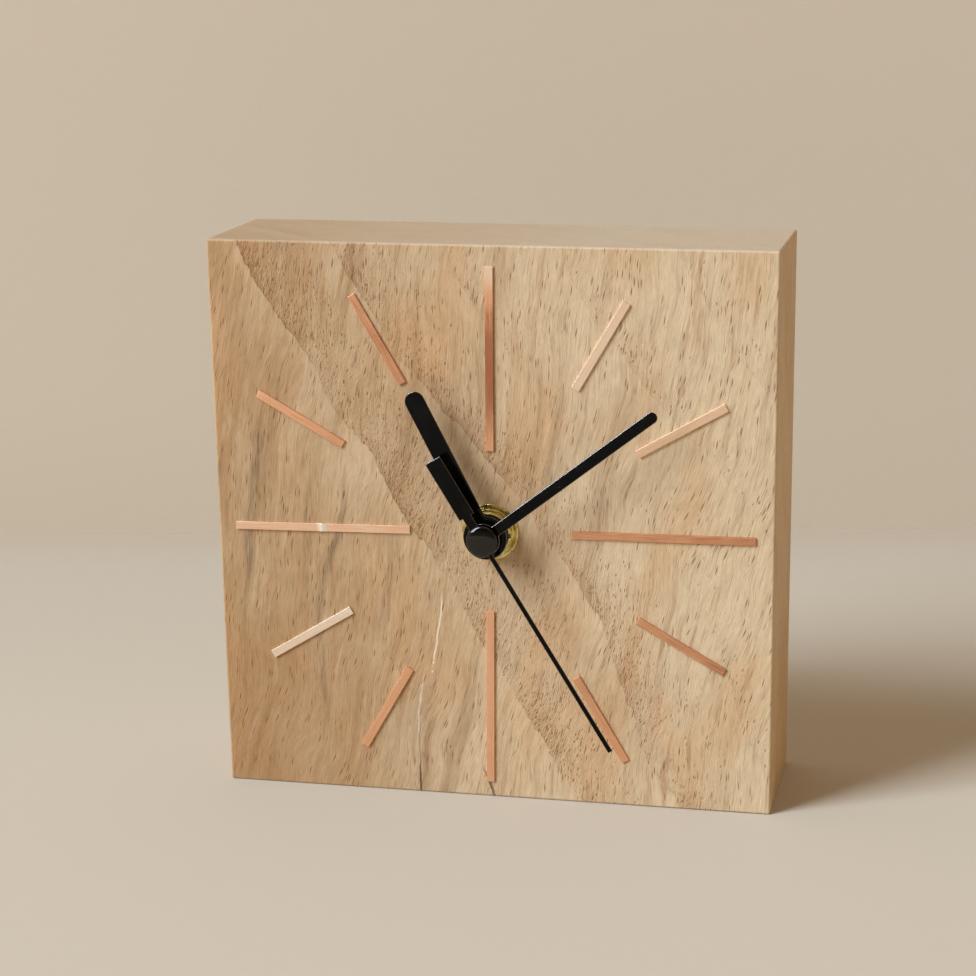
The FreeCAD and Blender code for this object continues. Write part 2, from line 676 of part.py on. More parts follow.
def front_case():
    """The tray of the movement: train room, battery bay, posts, pillars, seats and lugs."""
    floor = behind("case_wall")
    outer = rounded_square("case_outer", behind("0"), "case_depth", f"-{CASE_HALF}", CASE_HALF)
    past = behind(f"case_depth + {PAST}")
    room = box("train_room", f"-{CASE_INNER}", floor, TRAIN_BOTTOM, CASE_INNER, past, CASE_INNER)
    bay = box("battery_bay", f"-{CASE_INNER}", floor, f"-{CASE_INNER}", CASE_INNER, past, BAY_TOP)
    beyond = f"({CASE_HALF} + {PAST})"
    seat = box("cover_seat", f"-{beyond}", behind(COVER_FRONT), BAY_TOP, beyond, past, beyond)
    slot_width = "contact_strip + 2 * part_gap"
    slot_front = behind(f"({PLATE_BACK} + board_thickness)")
    slot_low = f"{BAY_TOP} - {PAST}"
    slot_high = f"{TRAIN_BOTTOM} + {PAST}"
    slots = [box("contact_slot", left, slot_front, slot_low, right, past, slot_high)
             for left, right in ((f"-{CASE_INNER}", f"-{CASE_INNER} + {slot_width}"),
                                 (f"{CASE_INNER} - ({slot_width})", CASE_INNER))]
    shell = cut("case_shell", outer, [room, bay, seat] + slots)

    solids = [shell]
    solids += [pillar("pillar", place, floor, behind(PLATE_FRONT)) for place in PILLARS]
    solids += [pillar("coil_pillar", place, floor, behind(COIL_POST_TOP)) for place in SCREW_PLACES]
    solids.append(rod("step_post", *STEP, "post_radius", floor, behind(STEP_POST_BACK)))
    solids.append(rod("rotor_post", *ROTOR, "post_radius", floor, behind(ROTOR_POST_BACK)))
    solids.append(rod("knob_boss", *KNOB, "knob_boss_radius", floor, behind(KNOB_BOSS_BACK)))
    solids.append(rod("motion_pin", *MOTION, "knob_pivot_radius", floor, behind(MOTION_PIN_BACK)))
    lug_front = behind("(case_depth - lug_depth - lug_height)")
    for level in CLIP_LEVELS:
        low = f"{level} - lug_width / 2"
        high = f"{level} + lug_width / 2"
        lug_back = behind("(case_depth - lug_depth)")
        for left, right in both_sides(f"({CASE_HALF} - {JOIN})", f"({CASE_HALF} + clip_thickness)"):
            solids.append(box("lug", left, lug_front, low, right, lug_back, high))

    arbor_hole = "wheel_arbor + running_fit"
    wall_back = behind(f"case_wall + {PAST}")
    step_hole_end = behind(f"({STEP_POST_BACK} - pivot_depth - post_gap)")
    rotor_hole_end = behind(f"({ROTOR_POST_BACK} - pivot_depth - post_gap)")
    screw_hole_end = behind(f"({STATOR_BACK} - screw_length - post_gap)")
    holes = [
        rod("bush_hole", *AXIS, "bush_radius + seat_fit", behind(f"-{PAST}"), wall_back),
        rod("flange_seat", *AXIS, "bush_flange_radius + seat_fit",
            behind("case_wall - bush_flange_thickness"), wall_back),
        rod("third_hole", *THIRD, arbor_hole, behind("case_wall / 2"), wall_back),
        rod("step_hole", *STEP, arbor_hole, step_hole_end, behind(f"{STEP_POST_BACK} + {PAST}")),
        rod("rotor_hole", *ROTOR, arbor_hole, rotor_hole_end, behind(f"{ROTOR_POST_BACK} + {PAST}")),
        rod("knob_hole", *KNOB, "knob_pivot_radius + running_fit", behind("case_wall / 2"),
            behind(f"{KNOB_BOSS_BACK} + {PAST}")),
    ]
    holes += [rod("screw_hole", *place, "screw_radius + seat_fit", screw_hole_end,
                  behind(f"{COIL_POST_TOP} + {PAST}")) for place in SCREW_PLACES]
    finish(cut("front_case", fused("case_solids", solids), holes), "movement_front_case")


def middle_plate():
    """The plate that closes the train, with a bearing for each arbor."""
    front = behind(PLATE_FRONT)
    back = behind(PLATE_BACK)
    edge = f"({CASE_INNER} - part_gap)"
    plate = box("plate_blank", f"-{edge}", front, f"{TRAIN_BOTTOM} + part_gap", edge, back, PLATE_TOP)
    boss = rod("stator_boss", *ROTOR, "stator_ring", back, behind(STATOR_FRONT))
    sizes = [(place, "wheel_arbor + running_fit") for place in (AXIS, THIRD, STEP)]
    sizes.append((ROTOR, f"{tip_radius('rotor', 'step_module')} + rotor_room"))
    sizes.append((KNOB, "knob_shaft_radius + running_fit"))
    holes = [rod("plate_hole", *place, radius, f"{front} - {PAST}", f"{back} + {PAST}")
             for place, radius in sizes]
    holes.append(rod("magnet_well", *ROTOR, "stator_hole", back, behind(f"{STATOR_FRONT} + {PAST}")))
    finish(cut("middle_plate", fused("plate_solids", [plate, boss]), holes), "movement_middle_plate")


def rear_cover():
    """The cover over the train room, with its lip, snap arms, rotor bearing and knob hole."""
    front = behind(COVER_FRONT)
    back = behind("case_depth")
    plate = rounded_square("cover_plate", front, "cover_thickness", f"{BAY_TOP} + part_gap", CASE_HALF)
    lip_side = f"({CASE_INNER} - part_gap)"
    lip_low = f"({TRAIN_BOTTOM} + part_gap)"
    lip_front = f"{front} - cover_lip_height"
    past_lip = f"{lip_front} - {PAST}"
    strips_clear = f"{STRIP_TOP} + part_gap"
    lip_outer = box("lip_outer", f"-{lip_side}", lip_front, lip_low, lip_side, front, lip_side)
    lip_inner = box("lip_inner", f"-{lip_side} + cover_lip", past_lip, strips_clear,
                    f"{lip_side} - cover_lip", front, f"{lip_side} - cover_lip")
    strip_room = box("strip_room", f"-{lip_side} - {PAST}", past_lip, f"{lip_low} - {PAST}",
                     f"{lip_side} + {PAST}", front, strips_clear)
    lip = cut("cover_rim", lip_outer, [lip_inner, strip_room])
    seat_front = behind(f"({MAGNET_BACK} + rotor_seat_gap)")
    solids = [plate, lip, rod("rotor_seat", *ROTOR, "rotor_seat_radius", seat_front, front)]
    windows = []
    near = f"({CASE_HALF} + part_gap)"
    far = f"({CASE_HALF} + part_gap + clip_thickness)"
    window_front = behind("(case_depth - lug_depth - lug_height - part_gap)")
    window_back = behind("(case_depth - lug_depth + part_gap)")
    for level in CLIP_LEVELS:
        low = f"{level} - clip_width / 2"
        high = f"{level} + clip_width / 2"
        for left, right in both_sides(near, far):
            solids.append(box("clip", left, f"{back} - clip_length", low, right, back, high))
        for left, right in both_sides(f"({CASE_HALF} - {JOIN})", far):
            solids.append(box("clip_root", left, front, low, right, back, high))
        low = f"{level} - lug_width / 2 - part_gap"
        high = f"{level} + lug_width / 2 + part_gap"
        for left, right in both_sides(CASE_HALF, f"({CASE_HALF} + {PAST} + clip_thickness)"):
            windows.append(box("window", left, window_front, low, right, window_back, high))
    holes = [
        rod("cover_knob_hole", *KNOB, "knob_shaft_radius + running_fit",
            f"{front} - {PAST}", f"{back} + {PAST}"),
        rod("rotor_bearing", *ROTOR, "wheel_arbor + running_fit",
            behind(MAGNET_BACK), f"{front} - post_gap"),
    ]
    finish(cut("cover", fused("cover_solids", solids), holes + windows), "movement_rear_cover")


def toothed(gear, module, start, end, turn):
    """A toothed disc between two values of y, with straight-sided teeth, tooth 0 at turn degrees."""
    teeth = TEETH[gear]
    pitch_radius = teeth * number(module) / 2
    tip = number(tip_radius(gear, module))
    root = pitch_radius - DEDENDUM * number(module)
    pitch = 2 * math.pi / teeth
    half = TOOTH_SHARE * pitch / 2
    tip_half = half * pitch_radius / tip * TIP_SHARE
    root_half = min(half * pitch_radius / root * ROOT_SHARE, LARGEST_ROOT * pitch)
    points = []
    for tooth in range(teeth):
        middle = math.radians(turn) + tooth * pitch
        for radius, angle in ((root, -root_half), (tip, -tip_half), (tip, tip_half), (root, root_half)):
            where = middle + angle
            points.append(FreeCAD.Vector(radius * math.cos(where), start, radius * math.sin(where)))
    return slab(points, end)


def slab(points, end):
    """A flat piece with straight sides, from its corners at one value of y to another."""
    face = Part.Face(Part.makePolygon(points + points[:1]))
    return face.extrude(FreeCAD.Vector(0, end - points[0].y, 0))


def spindle(radius, start, end):
    """A round bar along Y about the axis."""
    middle = FreeCAD.Vector(0, start, 0)
    return Part.makeCylinder(number(radius), end - start, middle, FreeCAD.Vector(0, 1, 0))


def layer(name, grow="0"):
    """Start and end, in the dial frame, of a wheel's layer, grown both ways."""
    start = number(behind(f"({LAYER_STARTS[name]} - {grow})"))
    end = number(behind(f"({LAYER_ENDS[name]} + {grow})"))
    return start, end


def meshing_turn(driver_turn, driver, gear, direction):
    """Where tooth 0 of a gear points so that a gap of it takes the driver's tooth."""
    driver_pitch = 360.0 / TEETH[driver]
    pitch = 360.0 / TEETH[gear]
    share = (direction - driver_turn) / driver_pitch
    return direction + 180.0 - (0.5 - share) * pitch


# Where tooth 0 of each gear points. The motion wheel and the third wheel are set first, and the
# others follow round the two trains, so that every pair is in mesh.
MOTION_TURN = 0.0
CANNON_TURN = meshing_turn(MOTION_TURN, "motion_wheel", "cannon", MOTION_DIRECTION + 180)
HOUR_TURN = meshing_turn(MOTION_TURN, "motion_pinion", "hour_wheel", MOTION_DIRECTION + 180)
KNOB_TURN = meshing_turn(MOTION_TURN, "motion_wheel", "knob", KNOB_DIRECTION)
THIRD_TURN = 0.0
CENTRE_TURN = meshing_turn(THIRD_TURN, "third_pinion", "centre_wheel", THIRD_DIRECTION + 180)
SECONDS_TURN = meshing_turn(THIRD_TURN, "third_wheel", "seconds_pinion", THIRD_DIRECTION + 180)
STEP_TURN = meshing_turn(SECONDS_TURN, "seconds_wheel", "step_pinion", STEP_DIRECTION)
ROTOR_TURN = meshing_turn(STEP_TURN, "step_wheel", "rotor", ROTOR_DIRECTION)


def hour_wheel():
    """The hour wheel and the pipe that runs in the bush and carries the hour hand."""
    front = number(f"-{HOUR_PIPE_FRONT}")
    start, end = layer("hour")
    back = end + number("pinion_overlap")
    shape = toothed("hour_wheel", HOUR_MODULE, start, end, HOUR_TURN)
    shape = shape.fuse(spindle("hour_pipe_radius", front, back))
    shape = shape.cut(spindle("minute_arbor_radius + running_fit", front - PAST, back + PAST))
    finish_shape(shape, "hour_wheel")


def minute_arbor():
    """The hollow minute arbor with its cannon pinion, and the star washer of its friction clutch."""
    front = number(f"-{MINUTE_ARBOR_FRONT}")
    start, end = layer("motion", "pinion_overlap")
    spring_front = layer("centre")[1] + number("seat_fit")
    spring_back = spring_front + number("clutch_spring_thickness")
    back = spring_back + number("pinion_overlap")
    shape = toothed("cannon", "motion_module", start, end, CANNON_TURN)
    shape = shape.fuse(spindle("minute_arbor_radius", front, end))
    shape = shape.fuse(spindle("clutch_seat_radius", end, back))
    shape = shape.cut(spindle("seconds_arbor_radius + running_fit", front - PAST, back + PAST))
    finish_shape(shape, "minute_arbor")

    tip = number("clutch_spring_radius")
    waist = number("clutch_seat_radius + clutch_spring_rim")
    points = []
    for corner in range(2 * STAR_POINTS):
        reach = waist if corner % 2 else tip
        angle = math.pi * corner / STAR_POINTS
        points.append(FreeCAD.Vector(reach * math.cos(angle), spring_front, reach * math.sin(angle)))
    hole = spindle("clutch_seat_radius + seat_fit", spring_front - PAST, spring_back + PAST)
    finish_shape(slab(points, spring_back).cut(hole), "clutch_spring")


def motion_wheel():
    """The wheel and pinion between the cannon pinion, the hour wheel and the setting knob."""
    start, end = layer("motion")
    front = number(behind("(case_wall + part_gap)"))
    shape = toothed("motion_wheel", "motion_module", start, end, MOTION_TURN)
    shape = shape.fuse(toothed("motion_pinion", HOUR_MODULE, front, start, MOTION_TURN))
    shape = shape.cut(spindle("knob_pivot_radius + running_fit", front - PAST, end + PAST))
    finish_shape(shape, "motion_wheel", MOTION)


def setting_knob():
    """The knob on the back, its shaft, and the pinion that turns the hands."""
    start, end = layer("motion", "pinion_overlap")
    pivot = number(behind("(case_wall / 2 + post_gap)"))
    head_front = number(behind("(case_depth + knob_gap)"))
    head_back = head_front + number("knob_height")
    shape = toothed("knob", "motion_module", start, end, KNOB_TURN)
    shape = shape.fuse(spindle("knob_pivot_radius", pivot, start))
    shape = shape.fuse(spindle("knob_shaft_radius", end, head_front))

    radius = number("knob_radius")
    inner = radius - number("knob_groove")
    points = []
    for groove in range(KNOB_GROOVES):
        for share, reach in ((0.0, inner), (GROOVE_SHARE, radius), (1 - GROOVE_SHARE, radius)):
            angle = 2 * math.pi * (groove + share) / KNOB_GROOVES
            points.append(FreeCAD.Vector(reach * math.cos(angle), head_front, reach * math.sin(angle)))
    dish = spindle("knob_radius - knob_rim", head_back - number("knob_dish"), head_back + PAST)
    finish_shape(shape.fuse(slab(points, head_back).cut(dish)), "setting_knob", KNOB)


def going_train():
    """The wheels from the rotor to the centre wheel, each on its arbor."""
    rear_pivot = number(behind(REAR_PIVOT_BACK))

    start, end = layer("centre")
    shape = toothed("centre_wheel", "centre_module", start, end, CENTRE_TURN)
    shape = shape.cut(spindle("clutch_seat_radius + running_fit", start - PAST, end + PAST))
    finish_shape(shape, "centre_wheel")

    start, end = layer("third")
    pinion_front = layer("centre", "pinion_overlap")[0]
    shape = toothed("third_wheel", THIRD_MODULE, start, end, THIRD_TURN)
    shape = shape.fuse(toothed("third_pinion", "centre_module", pinion_front, start, THIRD_TURN))
    front_pivot = number(behind("(case_wall / 2 + post_gap)"))
    shape = shape.fuse(spindle("wheel_arbor", front_pivot, rear_pivot))
    finish_shape(shape, "third_wheel", THIRD)

    start, end = layer("seconds")
    pinion_front = layer("third", "pinion_overlap")[0]
    shape = toothed("seconds_wheel", "seconds_module", start, end, SECONDS_TURN)
    shape = shape.fuse(toothed("seconds_pinion", THIRD_MODULE, pinion_front, start, SECONDS_TURN))
    shape = shape.cut(spindle("seconds_arbor_radius + seat_fit", pinion_front - PAST, end + PAST))
    finish_shape(shape, "seconds_wheel")
    front = number(f"-({SECOND_HAND_FRONT} + arbor_in_cap)")
    finish_shape(spindle("seconds_arbor_radius", front, rear_pivot), "seconds_arbor")

    start, end = layer("step")
    pinion_front = layer("seconds", "pinion_overlap")[0]
    shape = toothed("step_wheel", "step_module", start, end, STEP_TURN)
    shape = shape.fuse(toothed("step_pinion", "seconds_module", pinion_front, start, STEP_TURN))
    front_pivot = number(behind(f"({STEP_POST_BACK} - pivot_depth)"))
    shape = shape.fuse(spindle("wheel_arbor", front_pivot, rear_pivot))
    finish_shape(shape, "step_wheel", STEP)


def rotor():
    """The rotor's pinion and arbor, and the magnet on its hub."""
    start, end = layer("step", "pinion_overlap")
    front_pivot = number(behind(f"({ROTOR_POST_BACK} - pivot_depth)"))
    rear_pivot = number(behind(f"({COVER_FRONT} - 2 * post_gap)"))
    magnet_front = number(behind(MAGNET_FRONT))
    magnet_back = number(behind(MAGNET_BACK))
    shape = toothed("rotor", "step_module", start, end, ROTOR_TURN)
    shape = shape.fuse(spindle("wheel_arbor", front_pivot, rear_pivot))
    shape = shape.fuse(spindle("rotor_hub_radius", end, magnet_back))
    finish_shape(shape, "rotor", ROTOR)
    magnet = spindle("magnet_radius", magnet_front, magnet_back)
    magnet = magnet.cut(spindle("rotor_hub_radius + seat_fit", magnet_front - PAST, magnet_back + PAST))
    finish_shape(magnet, "rotor_magnet", ROTOR)


def motor():
    """The stator, the coil on its core and the two screws that hold them."""
    low = f"({ROTOR[1]} - stator_bar / 2)"
    high = f"({COIL_Z} + core_width / 2)"
    front = behind(STATOR_FRONT)
    back = behind(STATOR_BACK)
    left = "(coil_centre_x - core_length / 2)"
    right = "(coil_centre_x + core_length / 2)"
    bar = box("stator_bar_solid", left, front, low, right, back, f"{low} + stator_bar")
    legs = [box("stator_leg", near, front, low, far, back, high)
            for near, far in ((left, f"{left} + core_width"), (f"{right} - core_width", right))]
    ring_solid = rod("stator_ring_solid", *ROTOR, "stator_ring", front, back)
    screw_clear = "screw_radius + part_gap"
    holes = [rod("stator_bore", *ROTOR, "stator_hole", f"{front} - {PAST}", f"{back} + {PAST}")]
    holes += [rod("stator_screw_hole", *place, screw_clear, f"{front} - {PAST}", f"{back} + {PAST}")
              for place in SCREW_PLACES]
    finish(cut("stator", fused("stator_solids", [bar, ring_solid] + legs), holes), "stator_plate")

    core_front = behind(COIL_POST_TOP)
    core = box("core_blank", left, core_front, f"{COIL_Z} - core_width / 2", right, front, high)
    holes = [rod("core_screw_hole", *place, screw_clear, f"{core_front} - {PAST}", f"{front} + {PAST}")
             for place in SCREW_PLACES]
    finish(cut("core", core, holes), "coil_core")

    coil(f"({core_front} + core_thickness / 2)")
    coil_screws(back)


def coil(middle):
    """The bobbin round the core, whose middle is at one value of y, and its copper winding."""
    left = "(coil_centre_x - coil_length / 2)"
    right = "(coil_centre_x + coil_length / 2)"

    def square(name, start, end, half_depth, half_height):
        return box(name, start, f"{middle} - {half_depth}", f"{COIL_Z} - {half_height}",
                   end, f"{middle} + {half_depth}", f"{COIL_Z} + {half_height}")

    flange_half = "coil_flange_side / 2"
    window_depth = "(core_thickness / 2 + core_gap)"
    window_height = "(core_width / 2 + core_gap)"
    tube_depth = "(core_thickness / 2 + bobbin_wall)"
    tube_height = "(core_width / 2 + bobbin_wall)"
    bobbin = fused("bobbin_solids", [
        square("bobbin_flange", left, f"{left} + coil_flange", flange_half, flange_half),
        square("bobbin_flange", f"{right} - coil_flange", right, flange_half, flange_half),
        square("bobbin_tube", left, right, tube_depth, tube_height),
    ])
    ends = (f"{left} - {PAST}", f"{right} + {PAST}")
    window = square("bobbin_window", *ends, window_depth, window_height)
    finish(cut("bobbin", bobbin, [window]), "coil_bobbin")

    winding = crossways("winding_round", f"{left} + coil_flange", middle, COIL_Z,
                        "coil_radius", "coil_length - 2 * coil_flange")
    tunnel = square("winding_tunnel", *ends, tube_depth, tube_height)
    finish(cut("winding", winding, [tunnel]), "coil_winding")


def coil_screws(seat):
    """The two slotted screws through the stator and the core, their heads on one value of y."""
    screws = []
    slot_front = f"{seat} + screw_head_height / 2"
    past = f"{seat} + screw_head_height + {PAST}"
    for across, up in SCREW_PLACES:
        shank = rod("screw_shank", across, up, "screw_radius", f"{seat} - screw_length", seat)
        head = rod("screw_head", across, up, "screw_head_radius", seat, f"{seat} + screw_head_height")
        slot = box("screw_slot", f"{across} - screw_head_radius - {PAST}", slot_front,
                   f"{up} - screw_slot_width / 2", f"{across} + screw_head_radius + {PAST}", past,
                   f"{up} + screw_slot_width / 2")
        screws.append(cut("screw", fused("screw_solid", [shank, head]), [slot]))
    pair = doc.addObject("Part::Compound", "screw_pair")
    pair.Links = screws
    finish(pair, "coil_screws")


def circuit():
    """The circuit board with its chip and crystal."""
    front = behind(PLATE_BACK)
    back = behind(f"({PLATE_BACK} + board_thickness)")
    body = new_body("circuit_board")
    pad(body, front, "board_thickness", rectangle(BOARD_LEFT, STRIP_LOW, BOARD_RIGHT, BOARD_TOP))
    finish(body, "circuit_board")

    body = new_body("clock_chip")
    middle_x = f"({BOARD_LEFT} + board_width / 2)"
    pad(body, back, "chip_height", circle=(middle_x, f"{BOARD_TOP} - chip_drop", "chip_radius"))
    dome = at_depth(number(f"{back} + chip_height"))
    round_edges(body, "chip_bevel", dome, kind="Chamfer", size="Size")
    finish(body, "clock_chip")

    can_left = f"({BOARD_LEFT} + crystal_margin)"
    can_right = f"({can_left} + crystal_length)"
    can_y = f"({back} + crystal_radius)"
    can_z = f"({BOARD_TOP} - crystal_margin - crystal_radius)"
    can = crossways("crystal_can", can_left, can_y, can_z, "crystal_radius", "crystal_length")
    leads = []
    for side in ("-", "+"):
        lead_z = f"{can_z} {side} lead_spacing / 2"
        leads.append(box("crystal_lead", f"{can_right} - {JOIN}", back, f"{lead_z} - lead_side / 2",
                         f"{can_right} + lead_length", can_y, f"{lead_z} + lead_side / 2"))
    finish(fused("crystal", [can] + leads), "quartz_crystal")


def battery_and_contacts():
    """The AA cell and the two sprung strips that lead from it to the board."""
    bay_middle = f"({BAY_HEIGHT} / 2 - {CASE_INNER})"
    cell_y = behind("(case_wall + part_gap + battery_radius)")
    positive_end = f"({CASE_INNER} - contact_thickness)"
    shoulder = "(battery_length - battery_cap_height)"
    body = turned("battery", [
        ("0", "0"), ("battery_radius - battery_bevel", "0"), ("battery_radius", "battery_bevel"),
        ("battery_radius", f"{shoulder} - battery_bevel"), ("battery_radius - battery_bevel", shoulder),
        ("battery_cap_radius", shoulder), ("battery_cap_radius", "battery_length - battery_cap_bevel"),
        ("battery_cap_radius - battery_cap_bevel", "battery_length"), ("0", "battery_length"),
    ])
    body.Label = "battery"
    body.Placement.Rotation = FreeCAD.Rotation(FreeCAD.Vector(0, 0, 1), -90)
    bind(body, "Placement.Base.x", f"{positive_end} - battery_length")
    bind(body, "Placement.Base.y", f"{cell_y} - block_depth / 2")
    bind(body, "Placement.Base.z", f"{bay_middle} + {DIAL_HEIGHT}")
    SUB_PARTS.append(body)

    board_back = behind(f"({PLATE_BACK} + board_thickness)")
    strip_back = f"({board_back} + contact_thickness)"
    riser_back = f"({board_back} + contact_strip)"
    low = f"{bay_middle} - contact_width / 2"
    high = f"{bay_middle} + contact_width / 2"
    plate_front = behind("contact_margin")
    plate_back = behind("(case_depth - contact_margin)")
    plate = box("positive_plate", positive_end, plate_front, low, CASE_INNER, plate_back, high)
    riser = box("positive_riser", positive_end, board_back, low, CASE_INNER, riser_back, STRIP_TOP)
    strip = box("positive_strip", f"{BOARD_RIGHT} - contact_strip", board_back, STRIP_LOW,
                CASE_INNER, strip_back, STRIP_TOP)
    finish(fused("positive", [plate, riser, strip]), "battery_contact_positive")

    wall = f"-{CASE_INNER}"
    inner = f"({wall} + contact_thickness)"
    crest = f"({positive_end} - battery_length)"
    free_end = f"({wall} + leaf_end_gap)"
    free_y = behind("(case_depth - contact_margin - leaf_root)")
    body = new_body("negative_leaf")
    sketch = new_sketch(body, "XY_Plane", low)
    draw_outline(sketch, [
        (wall, plate_back), (wall, plate_front), (inner, plate_front), (crest, cell_y),
        (f"{free_end} + contact_thickness", free_y), (free_end, free_y),
        (f"{crest} - contact_thickness", cell_y), (inner, behind("(contact_margin + leaf_root)")),
        (inner, plate_back),
    ])
    leaf = body.newObject("PartDesign::Pad", "negative_leaf_pad")
    leaf.Profile = sketch
    bind(leaf, "Length", "contact_width")
    riser = box("negative_riser", wall, board_back, low, inner, riser_back, STRIP_TOP)
    strip = box("negative_strip", wall, board_back, STRIP_LOW,
                f"{BOARD_LEFT} + contact_strip", strip_back, STRIP_TOP)
    finish(fused("negative", [body, riser, strip]), "battery_contact_negative")


def round_blade(body, width, length, start, depth):
    """A straight bar that points to 12 and has a round tip."""
    tip = f"({length} - {width} / 2)"
    pad(body, start, depth, rectangle(f"-{width} / 2", "0", f"{width} / 2", tip))
    pad(body, start, depth, circle=("0", tip, f"{width} / 2"))


def hour_and_minute_hands():
    """Both are a flat blade and disc with a collar that is pressed on its arbor."""
    for name, reach, seat in (("hour", HOUR_HAND_FRONT, "hour_pipe_radius"),
                              ("minute", MINUTE_HAND_FRONT, "minute_arbor_radius")):
        front = f"-{reach}"
        body = new_body(f"{name}_hand")
        pad(body, front, "hand_thickness", circle=("0", "0", f"{name}_hub_radius"))
        round_blade(body, f"{name}_hand_width", f"{name}_hand_length", front, "hand_thickness")
        pad(body, f"{front} + hand_thickness", "collar_length", circle=("0", "0", f"{name}_collar_radius"))
        through = f"hand_thickness + collar_length + {2 * PAST}"
        pocket(body, f"{front} - {PAST}", through, circle=("0", "0", f"{seat} + seat_fit"))
        finish(body, f"{name}_hand", turn=f"{name}_hand_angle")


def second_hand():
    """A thin blade with a counterweight, its tube, and the domed cap over its middle."""
    front = f"-{SECOND_HAND_FRONT}"
    thick = "second_hand_thickness"
    bore = "seconds_arbor_radius + seat_fit"
    body = new_body("second_hand")
    pad(body, front, thick, circle=("0", "0", "second_hub_radius"))
    for width, low, high in (("second_hand_width", "0", "second_hand_length"),
                             ("tail_neck_width", f"-(tail_start + {JOIN})", "0"),
                             ("tail_width", "-tail_length", "-tail_start")):
        pad(body, front, thick, rectangle(f"-{width} / 2", low, f"{width} / 2", high))
    pad(body, f"{front} + {thick}", "second_tube_length", circle=("0", "0", "second_tube_radius"))
    through = f"{thick} + second_tube_length + {2 * PAST}"
    pocket(body, f"{front} - {PAST}", through, circle=("0", "0", bore))
    finish(body, "second_hand", turn="second_hand_angle")

    # The cap is a cut from a ball, over a short straight rim.
    radius = number("cap_radius")
    rise = number("cap_height - cap_rim")
    ball = (radius ** 2 + rise ** 2) / (2 * rise)
    base = number(front)
    rim = base - number("cap_rim")
    top = rim - rise
    half_way = radius / 2
    crown = FreeCAD.Vector(0, top, 0)
    shoulder = FreeCAD.Vector(half_way, top + ball - math.sqrt(ball ** 2 - half_way ** 2), 0)
    corners = [FreeCAD.Vector(radius, rim, 0), FreeCAD.Vector(radius, base, 0),
               FreeCAD.Vector(0, base, 0), crown]
    lines = [Part.Arc(crown, shoulder, corners[0]).toShape()]
    lines += [Part.makeLine(one, other) for one, other in zip(corners, corners[1:])]
    dome = Part.Face(Part.Wire(lines)).revolve(FreeCAD.Vector(0, 0, 0), FreeCAD.Vector(0, 1, 0), 360)
    dome = dome.cut(spindle(bore, base - number("arbor_in_cap + seat_fit"), base + PAST))
    finish_shape(dome, "second_hand_cap")


wood_block()
hour_strips()
fixing()
front_case()
middle_plate()
rear_cover()
hour_wheel()
minute_arbor()
motion_wheel()
setting_knob()
going_train()
rotor()
motor()
circuit()
battery_and_contacts()
hour_and_minute_hands()
second_hand()
doc.recompute()

for thing in doc.Objects:
    if "Invalid" in thing.State or "Error" in thing.State:
        raise RuntimeError(f"{thing.Name} did not build: {thing.State}")
os.makedirs("parts", exist_ok=True)
for thing in SUB_PARTS:
    shape = thing.Shape
    if shape.isNull() or not shape.isValid():
        raise RuntimeError(f"{thing.Label} has no valid shape")
    shape.exportStep(os.path.join("parts", thing.Label + ".step"))
print(len(SUB_PARTS), "sub-parts written")
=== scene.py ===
"""The looks of a square wooden desk clock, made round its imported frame.

The block, the copper hour strips, the black hands and the brass fixing are what the front
shows. The quartz movement, its cell and its setting knob are what the back shows.
"""
import json
import math

import bmesh
import bpy
from mathutils import Matrix, Vector


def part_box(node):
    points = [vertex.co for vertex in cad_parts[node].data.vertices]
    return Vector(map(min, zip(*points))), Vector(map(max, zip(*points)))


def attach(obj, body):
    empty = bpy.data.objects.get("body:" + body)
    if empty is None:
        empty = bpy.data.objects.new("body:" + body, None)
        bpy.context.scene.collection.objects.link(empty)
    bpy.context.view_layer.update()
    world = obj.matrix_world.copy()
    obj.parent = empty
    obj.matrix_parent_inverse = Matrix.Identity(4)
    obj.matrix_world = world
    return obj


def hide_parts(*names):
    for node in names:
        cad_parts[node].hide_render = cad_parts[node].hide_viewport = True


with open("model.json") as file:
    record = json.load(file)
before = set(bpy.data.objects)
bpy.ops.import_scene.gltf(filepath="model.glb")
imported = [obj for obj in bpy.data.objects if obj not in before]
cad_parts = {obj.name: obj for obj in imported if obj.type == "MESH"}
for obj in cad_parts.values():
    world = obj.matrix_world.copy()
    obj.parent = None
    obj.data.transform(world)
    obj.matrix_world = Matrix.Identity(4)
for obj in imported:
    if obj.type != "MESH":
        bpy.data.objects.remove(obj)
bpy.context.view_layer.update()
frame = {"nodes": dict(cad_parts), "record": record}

MM = 0.001
AXIS_HEIGHT = 69.5                      # of the hands' axis above the floor, in millimetres
DIAL = Vector((0.0, 0.0, AXIS_HEIGHT * MM))
BLOCK_HALF = 70.0                       # half of the block's width, in millimetres
BLOCK_HALF_DEPTH = 19.0
BLOCK_HEIGHT = 140.0


def tint(red, green, blue):
    """A colour given as a screen shows it, 0 to 255, as the linear values a socket takes."""
    linear = [v / 12.92 if v <= 0.04045 else ((v + 0.055) / 1.055) ** 2.4
              for v in (red / 255, green / 255, blue / 255)]
    return (*linear, 1.0)


def add_node(tree, kind, settings=None, inputs=None):
    """One node: its settings first, then the values or links of its sockets, by name, identifier or place."""
    made = tree.nodes.new(kind)
    for key, value in (settings or {}).items():
        setattr(made, key, value)
    for key, value in (inputs or {}).items():
        if isinstance(key, int):
            socket = made.inputs[key]
        else:
            socket = next((s for s in made.inputs if s.identifier == key), None) or made.inputs[key]
        if isinstance(value, bpy.types.NodeSocket):
            tree.links.new(value, socket)
        else:
            socket.default_value = value
    return made


# ---- writing a finish as arithmetic


